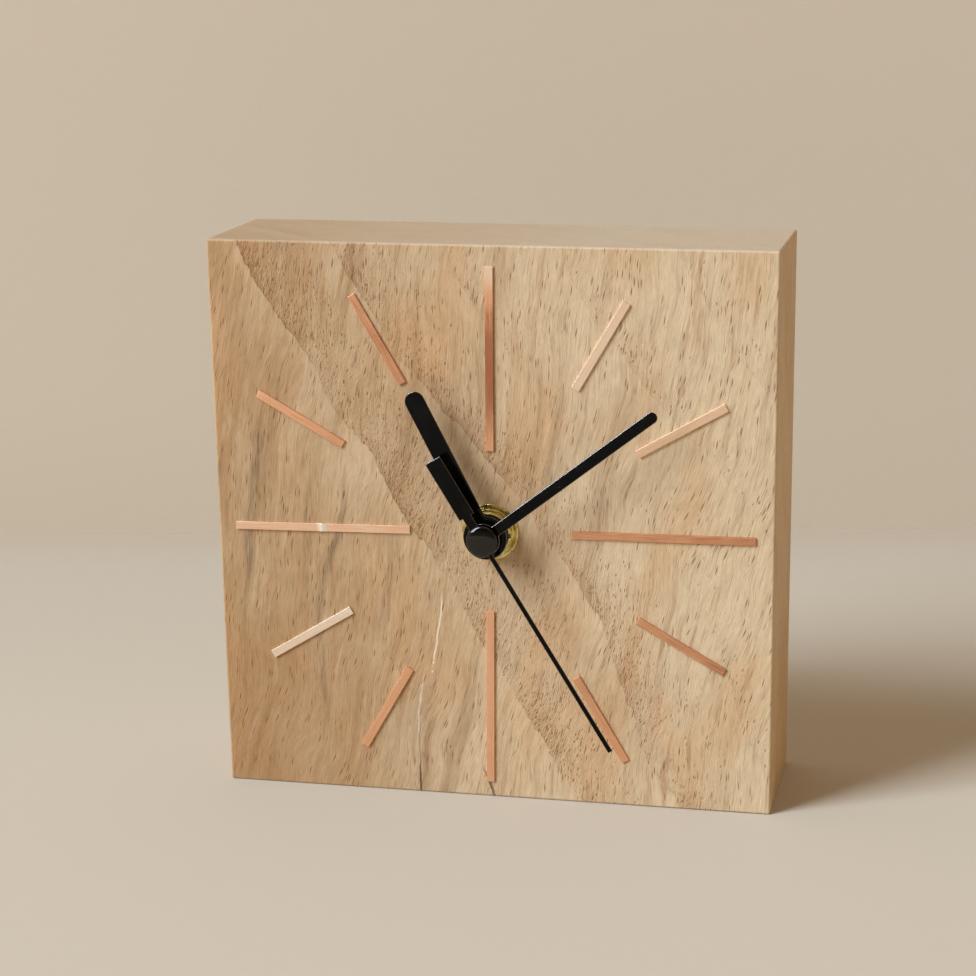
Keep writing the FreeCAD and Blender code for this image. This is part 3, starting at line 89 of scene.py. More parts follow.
class Signal:
    """What comes out of a node. Arithmetic on it adds Math nodes to the same finish."""

    def __init__(self, finish, socket):
        self.finish = finish
        self.socket = socket

    def math(self, operation, *others):
        return self.finish.math(operation, self, *others)

    def __add__(self, other):
        return self.math("ADD", other)

    def __sub__(self, other):
        return self.math("SUBTRACT", other)

    def __rsub__(self, other):
        return self.finish.math("SUBTRACT", other, self)

    def __mul__(self, other):
        return self.math("MULTIPLY", other)

    def __truediv__(self, other):
        return self.math("DIVIDE", other)

    def __rtruediv__(self, other):
        return self.finish.math("DIVIDE", other, self)

    def __abs__(self):
        return self.math("ABSOLUTE")

    __radd__ = __add__
    __rmul__ = __mul__

    def smooth(self, low, high):
        """0 below low and 1 above high, with a soft passage. low may be the larger of the two."""
        if low > high:
            return 1 - self.smooth(high, low)
        return self.finish.node(
            "ShaderNodeMapRange", {"interpolation_type": "SMOOTHSTEP"},
            {"Value": self, "From Min": low, "From Max": high})["Result"]


class Finish:
    """A material whose nodes are written as expressions."""

    def __init__(self, name):
        self.material = bpy.data.materials.new(name)
        self.material.use_nodes = True
        self.tree = self.material.node_tree
        self.tree.nodes.clear()

    @classmethod
    def of_world(cls, world):
        """The same writing for the room's light."""
        made = cls.__new__(cls)
        made.material, made.tree = world, world.node_tree
        made.tree.nodes.clear()
        return made

    def node(self, kind, settings=None, inputs=None):
        """One node, as add_node makes it. Returns its outputs by name and by identifier."""
        links = {key: value.socket if isinstance(value, Signal) else value
                 for key, value in (inputs or {}).items()}
        made = add_node(self.tree, kind, settings, links)
        outputs = {s.name: Signal(self, s) for s in made.outputs}
        outputs.update({s.identifier: Signal(self, s) for s in made.outputs})
        return outputs

    def math(self, operation, *values):
        return self.node("ShaderNodeMath", {"operation": operation}, dict(enumerate(values)))["Value"]

    def split(self, vector):
        parts = self.node("ShaderNodeSeparateXYZ", inputs={"Vector": vector})
        return parts["X"], parts["Y"], parts["Z"]

    def place(self):
        """Object coordinates along X, Y and Z, in millimetres."""
        spot = self.node("ShaderNodeTexCoord")["Object"]
        return self.split(self.node("ShaderNodeVectorMath", {"operation": "SCALE"},
                                    {0: spot, "Scale": 1 / MM})["Vector"])

    def facing(self):
        """How far the surface faces along X, Y and Z."""
        return self.split(self.node("ShaderNodeTexCoord")["Normal"])

    def attribute(self, name, output="Vector"):
        return self.node("ShaderNodeAttribute", {"attribute_name": name})[output]

    def spot(self, axes, scales, shifts=(0.0, 0.0, 0.0)):
        """A point from three values, each times its scale and then shifted. One number scales all three."""
        if not isinstance(scales, tuple):
            scales = (scales,) * 3
        x, y, z = (axis * scale + shift if shift else axis * scale
                   for axis, scale, shift in zip(axes, scales, shifts))
        return self.node("ShaderNodeCombineXYZ", inputs={"X": x, "Y": y, "Z": z})["Vector"]

    def noise(self, spot, detail=2.0, roughness=0.5, distortion=0.0):
        """Soft noise with its middle at 0 and most of its values within 0.5 of it."""
        made = self.node("ShaderNodeTexNoise", {"noise_dimensions": "3D"},
                         {"Vector": spot, "Scale": 1.0, "Detail": detail,
                          "Roughness": roughness, "Distortion": distortion})
        return made["Fac"] * 2 - 1

    def cells(self, spot, randomness=1.0):
        """Distance to the nearest of scattered points, and two random numbers for each point."""
        made = self.node("ShaderNodeTexVoronoi", {"voronoi_dimensions": "3D", "feature": "F1"},
                         {"Vector": spot, "Scale": 1.0, "Randomness": randomness})
        chance = self.node("ShaderNodeSeparateColor", inputs={"Color": made["Color"]})
        return made["Distance"], chance["Red"], chance["Green"]

    def mix(self, share, first, second, way="MIX"):
        """The second colour over the first, by share."""
        return self.node("ShaderNodeMix", {"data_type": "RGBA", "blend_type": way},
                         {"Factor_Float": share, "A_Color": first, "B_Color": second})["Result_Color"]

    def brighter(self, colour, amount):
        """A colour times 1 + amount, which may be below 0."""
        level = self.node("ShaderNodeCombineColor",
                          inputs={"Red": 1 + amount, "Green": 1 + amount, "Blue": 1 + amount})["Color"]
        return self.mix(1.0, colour, level, "MULTIPLY")

    def bump(self, height):
        """A normal from a height in millimetres."""
        return self.node("ShaderNodeBump",
                         inputs={"Strength": 1.0, "Distance": MM, "Height": height})["Normal"]

    def surface(self, **sockets):
        """The shader. Words joined by _ name its sockets, so base_color is Base Color."""
        named = {key.replace("_", " ").title().replace("Ior", "IOR"): value for key, value in sockets.items()}
        made = self.node("ShaderNodeBsdfPrincipled", inputs=named)
        self.node("ShaderNodeOutputMaterial", inputs={"Surface": made["BSDF"]})
        return self.material


# ---- the block's wood. Lengths are millimetres, x runs to the right and z up across the face

FIBRE_LEAN = 0.17                       # how far the fibres lean to the right on their way up
RING_FALL = 0.62                        # how the ring edges fall to the right across the face
RING_START = 23.5                       # so that the strongest edge begins at the top left corner
RING_PITCH = 28.3
RING_SLANT_IN = 1.35                    # how the rings move aside with depth into the block
SWAY = 5.5                              # how far the later edges swing
SWAY_LENGTH = 125.0                     # from one swing to the next, up the face
SWAY_PHASE = 1.51
SWAY_START = 29.0                       # the swing grows over this distance from the strongest edge
LEFT_STREAK, RIGHT_STREAK = 62.8, 44.6  # how far left of the middle two grey streaks lie
SPLIT_LEFT = 17.5                       # how far left of the middle the old split begins
SPLIT_LEAN = 6.0                        # how far it leans to the right on its way up
SPLIT_STEP = 2.1                        # how far to the left its lower length stands
SHORT_CRACK_LEFT = 2.6

# side is a painted shade for the face that looks to the right
WOOD = {name: tint(*shown) for name, shown in {
    "left": (178, 141, 100), "right": (216, 191, 155), "warm_cloud": (204, 156, 108),
    "pale_cloud": (222, 196, 161), "grey_streak": (150, 116, 80), "pale_streak": (226, 200, 165),
    "rough_zone": (176, 130, 84), "before_edge": (224, 194, 156), "dark_figure": (168, 126, 84),
    "pale_figure": (230, 203, 168), "low_corner": (170, 126, 80), "mineral": (108, 88, 66),
    "edge_line": (142, 98, 58), "pore": (132, 82, 42), "hairline": (142, 96, 56),
    "stain": (120, 84, 50), "chalk": (240, 222, 196), "crack": (92, 66, 44), "side": (204, 166, 116),
    "left_end": (175, 151, 122), "right_end": (182, 166, 144), "arris_highlight_and_wear": (226, 202, 172)}.items()}


def wood_rings(f, axes, wander, ripple):
    """Where the rings show, their zones of open pores, their edges, the pale wood before an edge, and how
    they stand out in relief."""
    x, y, z = axes
    slant = x + z * RING_FALL - RING_START
    sway = ((slant / SWAY_START).math("MAXIMUM", 0.0).math("MINIMUM", 1.0)
            * (z * (math.tau / SWAY_LENGTH) - SWAY_PHASE).math("SINE"))
    depth = (y + BLOCK_HALF_DEPTH) * RING_SLANT_IN
    frayed = f.noise(f.spot(axes, (0.8, 0.8, 0.5), (0.0, 0.0, 2.0)), 2.0) * 0.9
    rings = (slant - sway * SWAY + ripple * 3.2 + wander * 1.5 + depth + frayed) / RING_PITCH
    band = rings.math("FRACT")
    fading = f.noise(f.spot(axes, (0.03, 0.05, 0.05), (9.0, 0.0, 0.0)), 2.0).smooth(-0.35, 0.35)
    weaker = rings.smooth(0.7, 1.1) * 0.2 + rings.smooth(1.2, 2.1) * 0.5
    marked = (0.15 + rings.smooth(-0.25, 0.0) * 0.85 - weaker) * (0.45 + fading * 0.55)
    rough_zone = (band.smooth(0.4, 0.02) * 0.6 + band.smooth(0.86, 0.6) * 0.4) * marked
    edge_line = (band.smooth(0.07, 0.0) + band.smooth(0.99, 1.0)) * marked * (0.2 + fading * 0.8)
    before_edge = band.smooth(0.7, 0.97) * marked * fading
    steps = band * marked * (0.05 + fading * 0.11)
    return fading, rough_zone, edge_line, before_edge, steps


def wood_pores(f, grain, rough_zone, patchy):
    """Open pores and fine hairlines, which lie along the grain. The pores are thicker in the rough zones."""
    density = 0.42 + rough_zone * 0.3 + patchy * 0.4
    distance, chance, size = f.cells(f.spot(grain, (1.8, 1.8, 0.25)))
    long_pore = distance.smooth(0.42, 0.1) * (density - chance).smooth(0.0, 0.3)
    distance, chance, _ = f.cells(f.spot(grain, (1.8, 1.8, 0.72), (11.0, 0.0, 0.0)))
    short_density = rough_zone * 0.95 + patchy * 0.1
    short_pore = distance.smooth(0.46, 0.14) * (short_density - chance).smooth(0.0, 0.15)
    distance, chance, _ = f.cells(f.spot(grain, (3.4, 3.4, 0.11), (23.0, 0.0, 0.0)))
    hairline = distance.smooth(0.46, 0.15) * chance.smooth(0.5, 0.35)
    return long_pore.math("MAXIMUM", short_pore), size, hairline


def old_split(f, x, z, front, figure):
    """The old split left of 6 o'clock, filled pale in two lengths and open below, and a short crack by it."""
    wander = f.noise(f.spot((0.0, 0.0, z), 0.16), 3.0) * 0.9
    upper = x + SPLIT_LEFT - z.smooth(12, 66) * SPLIT_LEAN + wander
    lower = upper + SPLIT_STEP
    specks = f.noise(f.spot((0.0, 0.0, z), 1.1, (3.0, 0.0, 0.0)), 2.0)
    broken = (specks + z.smooth(27, 43)).smooth(0.25, 0.6)
    pale = abs(upper).smooth(0.34, 0.08) * broken * z.smooth(54, 50)
    chalk = 0.6 + f.noise(f.spot((0.0, 0.0, z), 0.5, (1.0, 0.0, 0.0)), 2.0)
    filled = z.smooth(4, 8) * 0.3 + z.smooth(13, 18) * 0.6
    pale = (pale + abs(lower).smooth(0.42, 0.08) * z.smooth(32, 29) * chalk * filled) * front
    opened = z.smooth(9, 5) * 0.8 + z.smooth(22, 14) * 0.3
    dark = abs(lower - 0.4).smooth(0.36, 0.06) * opened * front
    wave = f.noise(f.spot((0.0, 0.0, z), 0.4, (5.0, 0.0, 0.0)), 2.0) * 1.2
    short = x + SHORT_CRACK_LEFT - z.smooth(9, 0) * 2.4 + wave
    dark = dark.math("MAXIMUM", abs(short).smooth(0.5, 0.1) * front * z.smooth(9, 5))
    stain = abs(lower).smooth(6.0, 1.5) * z.smooth(36, 26) * front * (0.28 + figure * 0.3)
    return pale, dark, stain.smooth(0.0, 1.0)


def mineral_streaks(x, z, front, ripple, strength):
    """Two grey streaks left of the middle."""
    left = abs(x + LEFT_STREAK - (z - 55) * 0.11 + ripple * 3).smooth(2.6, 0.2)
    right = abs(x + RIGHT_STREAK - z.smooth(45, 82) * 8 + ripple * 3).smooth(1.7, 0.2)
    streaks = left * z.smooth(46, 60) * z.smooth(104, 88) + right * z.smooth(14, 26) * z.smooth(86, 76)
    return (streaks * front * strength).smooth(0.0, 1.1)


def block_wood():
    """Pale tan wood sawn slantwise, so that rings cross the face as long sharp-edged bands of open pores."""
    f = Finish("pale_open_pored_wood")
    axes = x, y, z = f.place()
    wander = f.noise(f.spot(axes, (0.018, 0.02, 0.014)), 2.0)
    ripple = f.noise(f.spot(axes, (0.075, 0.06, 0.05)), 3.0, 0.55)
    patchy = f.noise(f.spot(axes, (0.12, 0.12, 0.07), (0.0, 0.0, 3.0)), 2.0)
    fading, rough_zone, edge_line, before_edge, steps = wood_rings(f, axes, wander, ripple)

    grain = (x - z * FIBRE_LEAN + wander * 9 + ripple * 1.8, y, z)
    fibre = f.noise(f.spot(grain, (3.2, 3.2, 0.2)), 3.0, 0.62)
    figure = f.noise(f.spot(grain, (0.55, 0.55, 0.05)), 3.0, 0.55)
    mottle = f.noise(f.spot(grain, (0.75, 0.75, 0.3), (0.0, 0.0, 4.0)), 3.0, 0.65)
    cloud = f.noise(f.spot(grain, (0.05, 0.06, 0.022)), 2.0)
    streak = f.noise(f.spot(grain, (0.2, 0.2, 0.014), (0.0, 0.0, 7.3)), 4.0, 0.62)
    pore, size, hairline = wood_pores(f, grain, rough_zone, patchy)

    rightward = (x + wander * 30).smooth(-70, 40)
    front = (y + BLOCK_HALF_DEPTH).smooth(5.0, 0.6)
    colour = f.mix(rightward, WOOD["left"], WOOD["right"])
    for share, name in (
            (cloud.smooth(-0.1, 0.45) * 0.55, "warm_cloud"),
            (cloud.smooth(0.05, -0.5) * 0.4, "pale_cloud"),
            (streak.smooth(0.05, 0.45) * (0.85 - rightward * 0.5), "grey_streak"),
            (streak.smooth(-0.12, -0.5) * 0.35, "pale_streak"),
            (rough_zone * (0.2 + fading * 0.2), "rough_zone"),
            (before_edge * 0.3, "before_edge"),
            (figure.smooth(0.05, 0.5) * 0.55, "dark_figure"),
            (figure.smooth(-0.05, -0.5) * 0.25, "pale_figure"),
            (x.smooth(-20, -55) * z.smooth(62, 25) * 0.45, "low_corner")):
        colour = f.mix(share, colour, WOOD[name])
    colour = f.brighter(colour, fibre * 0.2 + mottle * 0.2)

    mineral = mineral_streaks(x, z, front, ripple, 0.6 + fibre + figure * 0.6)
    pale, dark, stain = old_split(f, x, z, front, figure)
    to_right, _, to_top = f.facing()
    # painted shade: the face that looks to the right is tinted darker and browner with the side colour
    for share, name in (
            (mineral * 0.75, "mineral"), (edge_line * (0.38 - rightward * 0.3), "edge_line"),
            (pore * (0.4 + size * 0.4), "pore"), (hairline * 0.4, "hairline"), (stain, "stain"),
            (pale * 0.85, "chalk"), (dark * 0.7, "crack"), (to_right.smooth(0.5, 0.8) * 0.5, "side")):
        colour = f.mix(share, colour, WOOD[name])

    # end grain is greyer, and the arris is paler: a painted highlight along the eased edges, with some wear
    end_grain = abs(to_top).smooth(0.5, 0.8)
    end_colour = f.brighter(f.mix(rightward, WOOD["left_end"], WOOD["right_end"]),
                            fibre * 0.06 + figure * 0.05 - pore * 0.12)
    colour = f.mix(end_grain * 0.8, colour, end_colour)
    to_side = BLOCK_HALF - abs(x)
    to_face = BLOCK_HALF_DEPTH - abs(y)
    to_end = z.math("MINIMUM", BLOCK_HEIGHT - z)
    farthest = to_side.math("MAXIMUM", to_face).math("MAXIMUM", to_end)
    arris = (to_side + to_face + to_end - farthest + fibre * 0.25).smooth(0.75, 0.1)
    colour = f.mix(arris * 0.28, colour, WOOD["arris_highlight_and_wear"])

    relief = fibre * 0.035 + figure * 0.02 + mottle * 0.03 - pore * 0.07 - hairline * 0.02 + steps
    fuzz = f.noise(f.spot(grain, (2.6, 2.6, 0.95)), 3.0, 0.65) * (0.02 + rough_zone * 0.19)
    height = (relief - dark * 0.3 + pale * 0.05) * (1 - end_grain * 0.75) + fuzz * (1 - end_grain * 0.5)
    return f.surface(
        base_color=colour, roughness=0.56 + rough_zone * 0.08 + pore * 0.15 + fibre * 0.05,
        normal=f.bump(height), specular_ior_level=0.35)


# ---- the other finishes


def strip_copper():
    """Thin brushed copper. Each strip carries its own tone, from how it lies to the light."""
    f = Finish("brushed_copper")
    along, over, _ = f.split(f.attribute("lay"))
    tone = f.attribute("tone", "Fac")
    brush = f.noise(f.spot((along, over, tone), (0.14, 4.5, 3.0)), 3.0, 0.6)
    smear = f.noise(f.spot((along, over, tone), (0.12, 0.3, 5.0)), 2.0)
    shade = tone + brush * 0.34 + smear * 0.12
    # painted reflection: the tone sets how pale the copper is
    colour = f.mix(shade.smooth(0.0, 0.6), tint(188, 126, 92), tint(246, 190, 148))
    colour = f.mix(shade.smooth(0.5, 1.05), colour, tint(255, 226, 198))
    # tones above 1, as on the crease's ridge, reach a near-white painted highlight
    colour = f.mix(shade.smooth(1.0, 1.5), colour, tint(255, 246, 232))
    return f.surface(base_color=colour, metallic=1.0, roughness=0.5 + brush * 0.07,
                     normal=f.bump(brush * 0.006))


RINGS_PER_MM = 1 / 0.22                 # of the marks that a turning tool leaves


def turned_metal(name, dark, light, roughness):
    """Metal from a lathe, with fine rings round the axis of the hands."""
    f = Finish(name)
    axes = x, y, z = f.place()
    height = z - AXIS_HEIGHT
    radius = (x * x + height * height).math("SQRT")
    rings = f.noise(f.spot((radius, y, 0.0), RINGS_PER_MM), 3.0, 0.6)
    stain = f.noise(f.spot(axes, 0.5), 3.0)
    colour = f.mix((stain + rings * 0.3).smooth(-0.5, 0.6), dark, light)
    return f.surface(base_color=colour, metallic=1.0, roughness=roughness + stain * 0.06 + rings * 0.04,
                     normal=f.bump(rings * 0.0012))


def rolled_metal(name, dark, light, roughness, line=(0.4, 6.0, 6.0)):
    """Sheet or wire with fine lines along one direction and a little tarnish."""
    f = Finish(name)
    axes = f.place()
    lines = f.noise(f.spot(axes, line), 3.0, 0.6)
    stain = f.noise(f.spot(axes, 0.35), 3.0)
    colour = f.mix((stain + lines * 0.5).smooth(-0.6, 0.6), dark, light)
    return f.surface(base_color=colour, metallic=1.0, roughness=roughness + stain * 0.1,
                     normal=f.bump(lines * 0.004))


def gloss_black(name, roughness, gloss, edge_coat=0.0):
    """Black lacquer with faint dust and a soft orange-peel. Its coat may gather round the edges."""
    f = Finish(name)
    axes = f.place()
    peel = f.noise(f.spot(axes, 1.3), 2.0)
    distance, chance, _ = f.cells(f.spot(axes, 1.1))
    dust = distance.smooth(0.12, 0.05) * chance.smooth(0.86, 0.9)
    haze = f.noise(f.spot(axes, 0.22), 3.0).smooth(-0.2, 0.7)
    colour = f.mix(dust * 0.35 + haze * 0.02, tint(4, 4, 4), tint(120, 112, 100))
    _, to_front, _ = f.facing()
    edge = abs(to_front).smooth(0.985, 0.93) * edge_coat
    return f.surface(base_color=colour, roughness=roughness + haze * 0.05 + dust * 0.3,
                     coat_weight=edge, coat_roughness=0.08, coat_ior=2.1,
                     normal=f.bump(peel * 0.0015), specular_ior_level=gloss)


def moulded(name, dark, light, roughness, pitch=0.16):
    """Injection-moulded plastic: a fine spark-eroded skin, faint flow lines and scuffs."""
    f = Finish(name)
    axes = f.place()
    skin = f.noise(f.spot(axes, 1 / pitch), 2.0, 0.6)
    flow = f.noise(f.spot(axes, (0.06, 0.2, 0.11)), 3.0, 0.5, 0.6)
    scuff = f.noise(f.spot(axes, (0.9, 3.0, 4.5)), 4.0, 0.7).smooth(0.45, 0.7)
    colour = f.mix(flow.smooth(-0.5, 0.6) * 0.7 + scuff * 0.2 + skin * 0.08, dark, light)
    return f.surface(base_color=colour, roughness=roughness + skin * 0.05 - scuff * 0.1,
                     normal=f.bump(skin * 0.012))


WIRE_PITCH = 0.34                       # from one turn of the coil's wire to the next, as it shows


def wound_copper():
    """Enamelled wire, whose turns show as fine ridges across the bobbin."""
    f = Finish("enamelled_wire")
    axes = x, _, _ = f.place()
    turn = (x * (math.tau / WIRE_PITCH)).math("SINE")
    layer = f.noise(f.spot(axes, (3.0, 0.7, 0.7)), 2.0)
    colour = f.mix((turn * 0.4 + layer).smooth(-0.7, 0.8), tint(120, 52, 26), tint(214, 120, 66))
    return f.surface(base_color=colour, metallic=0.6, roughness=0.32 + layer * 0.06,
                     normal=f.bump(turn * 0.03), coat_weight=0.5, coat_roughness=0.15)


def circuit_laminate():
    """A brown phenolic board with pale lacquered tracks."""
    f = Finish("board_laminate")
    axes = x, _, z = f.place()
    distance, _, _ = f.cells(f.spot((x, 0.0, z), (0.45, 1.0, 0.28)), 0.35)
    track = abs(distance - 0.55).smooth(0.09, 0.05)
    weave = f.noise(f.spot(axes, 5.0), 2.0)
    colour = f.mix(track * 0.8, f.brighter(tint(128, 88, 44), weave * 0.12), tint(176, 132, 62))
    return f.surface(base_color=colour, roughness=0.42 + weave * 0.06,
                     normal=f.bump(track * 0.03 + weave * 0.004))


def potting_resin():
    """The hard black blob over the chip."""
    f = Finish("potting_resin")
    axes = f.place()
    wave = f.noise(f.spot(axes, 0.9), 2.0)
    pit = f.cells(f.spot(axes, 3.0))[0].smooth(0.18, 0.08)
    colour = f.mix(wave.smooth(-0.5, 0.7), tint(18, 18, 20), tint(38, 38, 42))
    return f.surface(base_color=colour, roughness=0.24 + wave * 0.06 + pit * 0.2,
                     normal=f.bump(wave * 0.05 - pit * 0.02))


SEAM_HEIGHT = 54.6                      # of the lap in the cell's film


def cell_jacket():
    """A plain printed film shrunk round the cell: slate with a pale band at the plus end, and a lap seam."""
    f = Finish("cell_jacket")
    axes = x, y, z = f.place()
    shrunk_ends = x.smooth(21.5, 25.5) + x.smooth(-20.5, -24.0)
    shrink = f.noise(f.spot(axes, (0.1, 0.8, 0.8)), 3.0) * shrunk_ends
    grain = f.noise(f.spot(axes, 2.0), 2.0)
    seam = abs(z - SEAM_HEIGHT).smooth(0.14, 0.05) * y.smooth(4.0, 5.0)
    pale_band, pale_ring = x.smooth(12.2, 12.35), x.smooth(11.6, 11.7) * x.smooth(12.0, 11.9)
    colour = f.mix(pale_band, tint(58, 70, 84), tint(206, 204, 196))
    colour = f.mix(pale_ring, colour, tint(206, 204, 196))
    colour = f.brighter(colour, grain * 0.04 + shrink * 0.1 - seam * 0.4)
    return f.surface(base_color=colour, metallic=0.25, roughness=0.3 + grain * 0.04,
                     normal=f.bump(shrink * 0.12 + grain * 0.004 + seam * 0.05),
                     coat_weight=0.35, coat_roughness=0.2)


def soft_rubber():
    f = Finish("soft_rubber")
    axes = f.place()
    bloom = f.noise(f.spot(axes, 0.4), 3.0)
    skin = f.noise(f.spot(axes, 5.0), 2.0)
    colour = f.mix(bloom.smooth(-0.4, 0.6), tint(30, 29, 28), tint(54, 52, 50))
    return f.surface(base_color=colour, roughness=0.78 + skin * 0.05, normal=f.bump(skin * 0.01))


FINISHES = {
    "block_wood": block_wood(),
    "strip_copper": strip_copper(),
    "fixing_brass": turned_metal("turned_brass", tint(186, 164, 92), tint(244, 232, 166), 0.26),
    "washer_rubber": soft_rubber(),
    "case_plastic": moulded("black_case_plastic", tint(26, 26, 27), tint(40, 40, 41), 0.46),
    "plate_plastic": moulded("grey_plate_plastic", tint(150, 150, 146), tint(176, 176, 171), 0.42),
    "wheel_plastic": moulded(
        "natural_wheel_plastic", tint(214, 208, 192), tint(232, 228, 216), 0.36, 0.3),
    "knob_plastic": moulded("black_knob_plastic", tint(38, 38, 40), tint(56, 56, 58), 0.4, 0.2),
    "arbor_steel": turned_metal("ground_steel", tint(150, 150, 152), tint(205, 206, 208), 0.22),
    "arbor_brass": turned_metal("arbor_brass", tint(178, 148, 76), tint(222, 198, 122), 0.26),
    "spring_steel": rolled_metal("spring_steel", tint(140, 142, 146), tint(196, 198, 202), 0.28),
    "magnet": moulded("sintered_magnet", tint(44, 44, 48), tint(74, 74, 80), 0.36, 0.1),
    "stator_steel": rolled_metal(
        "stator_steel", tint(150, 152, 156), tint(206, 208, 210), 0.3, (0.3, 6.0, 5.0)),
    "coil_wire": wound_copper(),
    "bobbin_plastic": moulded("bobbin_plastic", tint(196, 190, 170), tint(218, 212, 196), 0.4, 0.2),
    "screw_steel": rolled_metal(
        "screw_steel", tint(158, 158, 156), tint(214, 214, 212), 0.26, (2.0, 2.0, 2.0)),
    "board_laminate": circuit_laminate(),
    "chip_resin": potting_resin(),
    "crystal_can": rolled_metal(
        "crystal_can", tint(168, 168, 166), tint(216, 216, 214), 0.22, (5.0, 5.0, 0.4)),
    "battery_jacket": cell_jacket(),
    "contact_metal": rolled_metal("plated_contact", tint(168, 166, 156), tint(218, 216, 208), 0.26),
    "hand_black": gloss_black("hand_lacquer", 0.12, 0.12, 1.0),
    "cap_black": gloss_black("cap_lacquer", 0.05, 0.5),
}
CELL_METAL = rolled_metal("plated_cell_end", tint(176, 176, 174), tint(222, 222, 220), 0.24, (5.0, 0.6, 5.0))
SLOT_OF = {part["node"]: part["material_slot"] for part in frame["record"]["subparts"]}


def finish_of(node):
    return FINISHES[SLOT_OF[node]]


# ---- pieces

JOIN = 1e-6                             # corners nearer than this are one, in metres
LATHE_STEPS = 96
SHARPEST_SMOOTH = math.radians(38)      # a turned edge that bends more than this is drawn sharp


def body_of(node):
    return next(body for body, nodes in frame["record"]["behaviour"]["bodies"].items() if node in nodes)


def new_piece(name, mesh, body):
    """Links a mesh as a piece that rides on a body."""
    piece = bpy.data.objects.new(name, mesh)
    bpy.context.scene.collection.objects.link(piece)
    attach(piece, body)
    return piece


def stand_in(name, mesh, node):
    """Links a mesh as a piece in place of a CAD node."""
    piece = new_piece(name, mesh, body_of(node))
    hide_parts(node)


def taken(draft, name):
    """The finished mesh of an object with modifiers, which is removed."""
    bpy.context.view_layer.update()
    shown = draft.evaluated_get(bpy.context.evaluated_depsgraph_get())
    mesh = bpy.data.meshes.new_from_object(shown)
    mesh.name = name
    before = draft.data
    bpy.data.objects.remove(draft)
    if before.users == 0:
        bpy.data.meshes.remove(before)
    return mesh


def add_bevel(draft, width, segments, angle):
    """Rounds an object's edges that bend more than an angle in degrees, by a width in millimetres."""
    rounding = draft.modifiers.new("edges", "BEVEL")
    rounding.width = width * MM
    rounding.segments = segments
    rounding.limit_method = "ANGLE"
    rounding.angle_limit = math.radians(angle)
    return rounding


def eased(name, node, width, segments=2, angle=32.0):
    """A piece that is a node with its flat faces made whole and its sharp edges rounded."""
    surface = bmesh.new()
    surface.from_mesh(frame["nodes"][node].data)
    bmesh.ops.remove_doubles(surface, verts=surface.verts, dist=JOIN)
    bmesh.ops.dissolve_limit(surface, angle_limit=math.radians(0.5), verts=surface.verts,
                             edges=surface.edges, delimit={"NORMAL"})
    mesh = bpy.data.meshes.new(name)
    surface.to_mesh(mesh)
    surface.free()
    mesh.materials.append(finish_of(node))
    for face in mesh.polygons:
        face.use_smooth = True
        face.material_index = 0
    draft = bpy.data.objects.new(name + "_draft", mesh)
    bpy.context.scene.collection.objects.link(draft)
    add_bevel(draft, width, segments, angle).harden_normals = True
    stand_in(name, taken(draft, name), node)


def lathe(name, outline, finish, centre=(0.0, AXIS_HEIGHT), direction="Y"):
    """A closed mesh turned round an axis from (radius, distance along it) points, in millimetres."""
    surface = bmesh.new()
    rows = []
    for radius, reach in outline:
        row = []
        for step in range(LATHE_STEPS if radius > 0 else 1):
            angle = math.tau * step / LATHE_STEPS
            first, second = radius * math.cos(angle) + centre[0], radius * math.sin(angle) + centre[1]
            spot = (first, reach, second) if direction == "Y" else (reach, first, second)
            row.append(surface.verts.new(Vector(spot) * MM))
        rows.append(row)
    hollow = outline[0][0] > 0
    for row, following in zip(rows, rows[1:] + rows[:1] if hollow else rows[1:]):
        for step in range(LATHE_STEPS):
            corners = [row[step % len(row)], row[(step + 1) % len(row)],
                       following[(step + 1) % len(following)], following[step % len(following)]]
            unique = list(dict.fromkeys(corners))
            if len(unique) > 2:
                surface.faces.new(unique)
    bmesh.ops.recalc_face_normals(surface, faces=surface.faces)
    mesh = bpy.data.meshes.new(name)
    surface.to_mesh(mesh)
    surface.free()
    for face in mesh.polygons:
        face.use_smooth = True
    mesh.set_sharp_from_angle(angle=SHARPEST_SMOOTH)
    mesh.materials.append(finish)
    return mesh


# ---- the hour strips, from one tree of Geometry Nodes


class Tree:
    """A Geometry Nodes tree with named inputs, written node by node."""

    def __init__(self, name):
        self.group = bpy.data.node_groups.new(name, "GeometryNodeTree")
        self.group.interface.new_socket("Geometry", in_out="OUTPUT", socket_type="NodeSocketGeometry")
        self.entry = self.group.nodes.new("NodeGroupInput")
        self.identifiers = {}

    def input(self, name, kind="NodeSocketFloat"):
        socket = self.group.interface.new_socket(name, in_out="INPUT", socket_type=kind)
        self.identifiers[name] = socket.identifier
        return next(s for s in self.entry.outputs if s.identifier == socket.identifier)

    def node(self, kind, settings=None, inputs=None):
        return add_node(self.group, kind, settings, inputs).outputs

    def math(self, operation, *values):
        return self.node("ShaderNodeMath", {"operation": operation}, dict(enumerate(values)))[0]

    def vector(self, **axes):
        return self.node("ShaderNodeCombineXYZ", inputs=axes)[0]

    def end(self, geometry, material):
        """Every tree ends with its instances made real and its material set."""
        real = self.node("GeometryNodeRealizeInstances", inputs={"Geometry": geometry})[0]
        dressed = self.node("GeometryNodeSetMaterial", inputs={"Geometry": real, "Material": material})[0]
        leave = self.group.nodes.new("NodeGroupOutput")
        self.group.links.new(dressed, leave.inputs[0])
        return self

    def run(self, name, values, bevel):
        """The mesh that the tree makes with these values of its named inputs, its edges bevelled."""
        draft = bpy.data.objects.new(name + "_draft", bpy.data.meshes.new(name + "_draft"))
        bpy.context.scene.collection.objects.link(draft)
        step = draft.modifiers.new("tree", "NODES")
        step.node_group = self.group
        for key, value in values.items():
            step[self.identifiers[key]] = value
        add_bevel(draft, bevel, 2, 50)
        return taken(draft, name)


STRIP_CELLS = {"Vertices X": 61, "Vertices Y": 2, "Vertices Z": 4}
CREASE_REACH = 1.1                      # millimetres from a crease's ridge to where the strip is flat again
CREASE_SHINE = 1.4                      # how much brighter the ridge is than its strip, a painted highlight
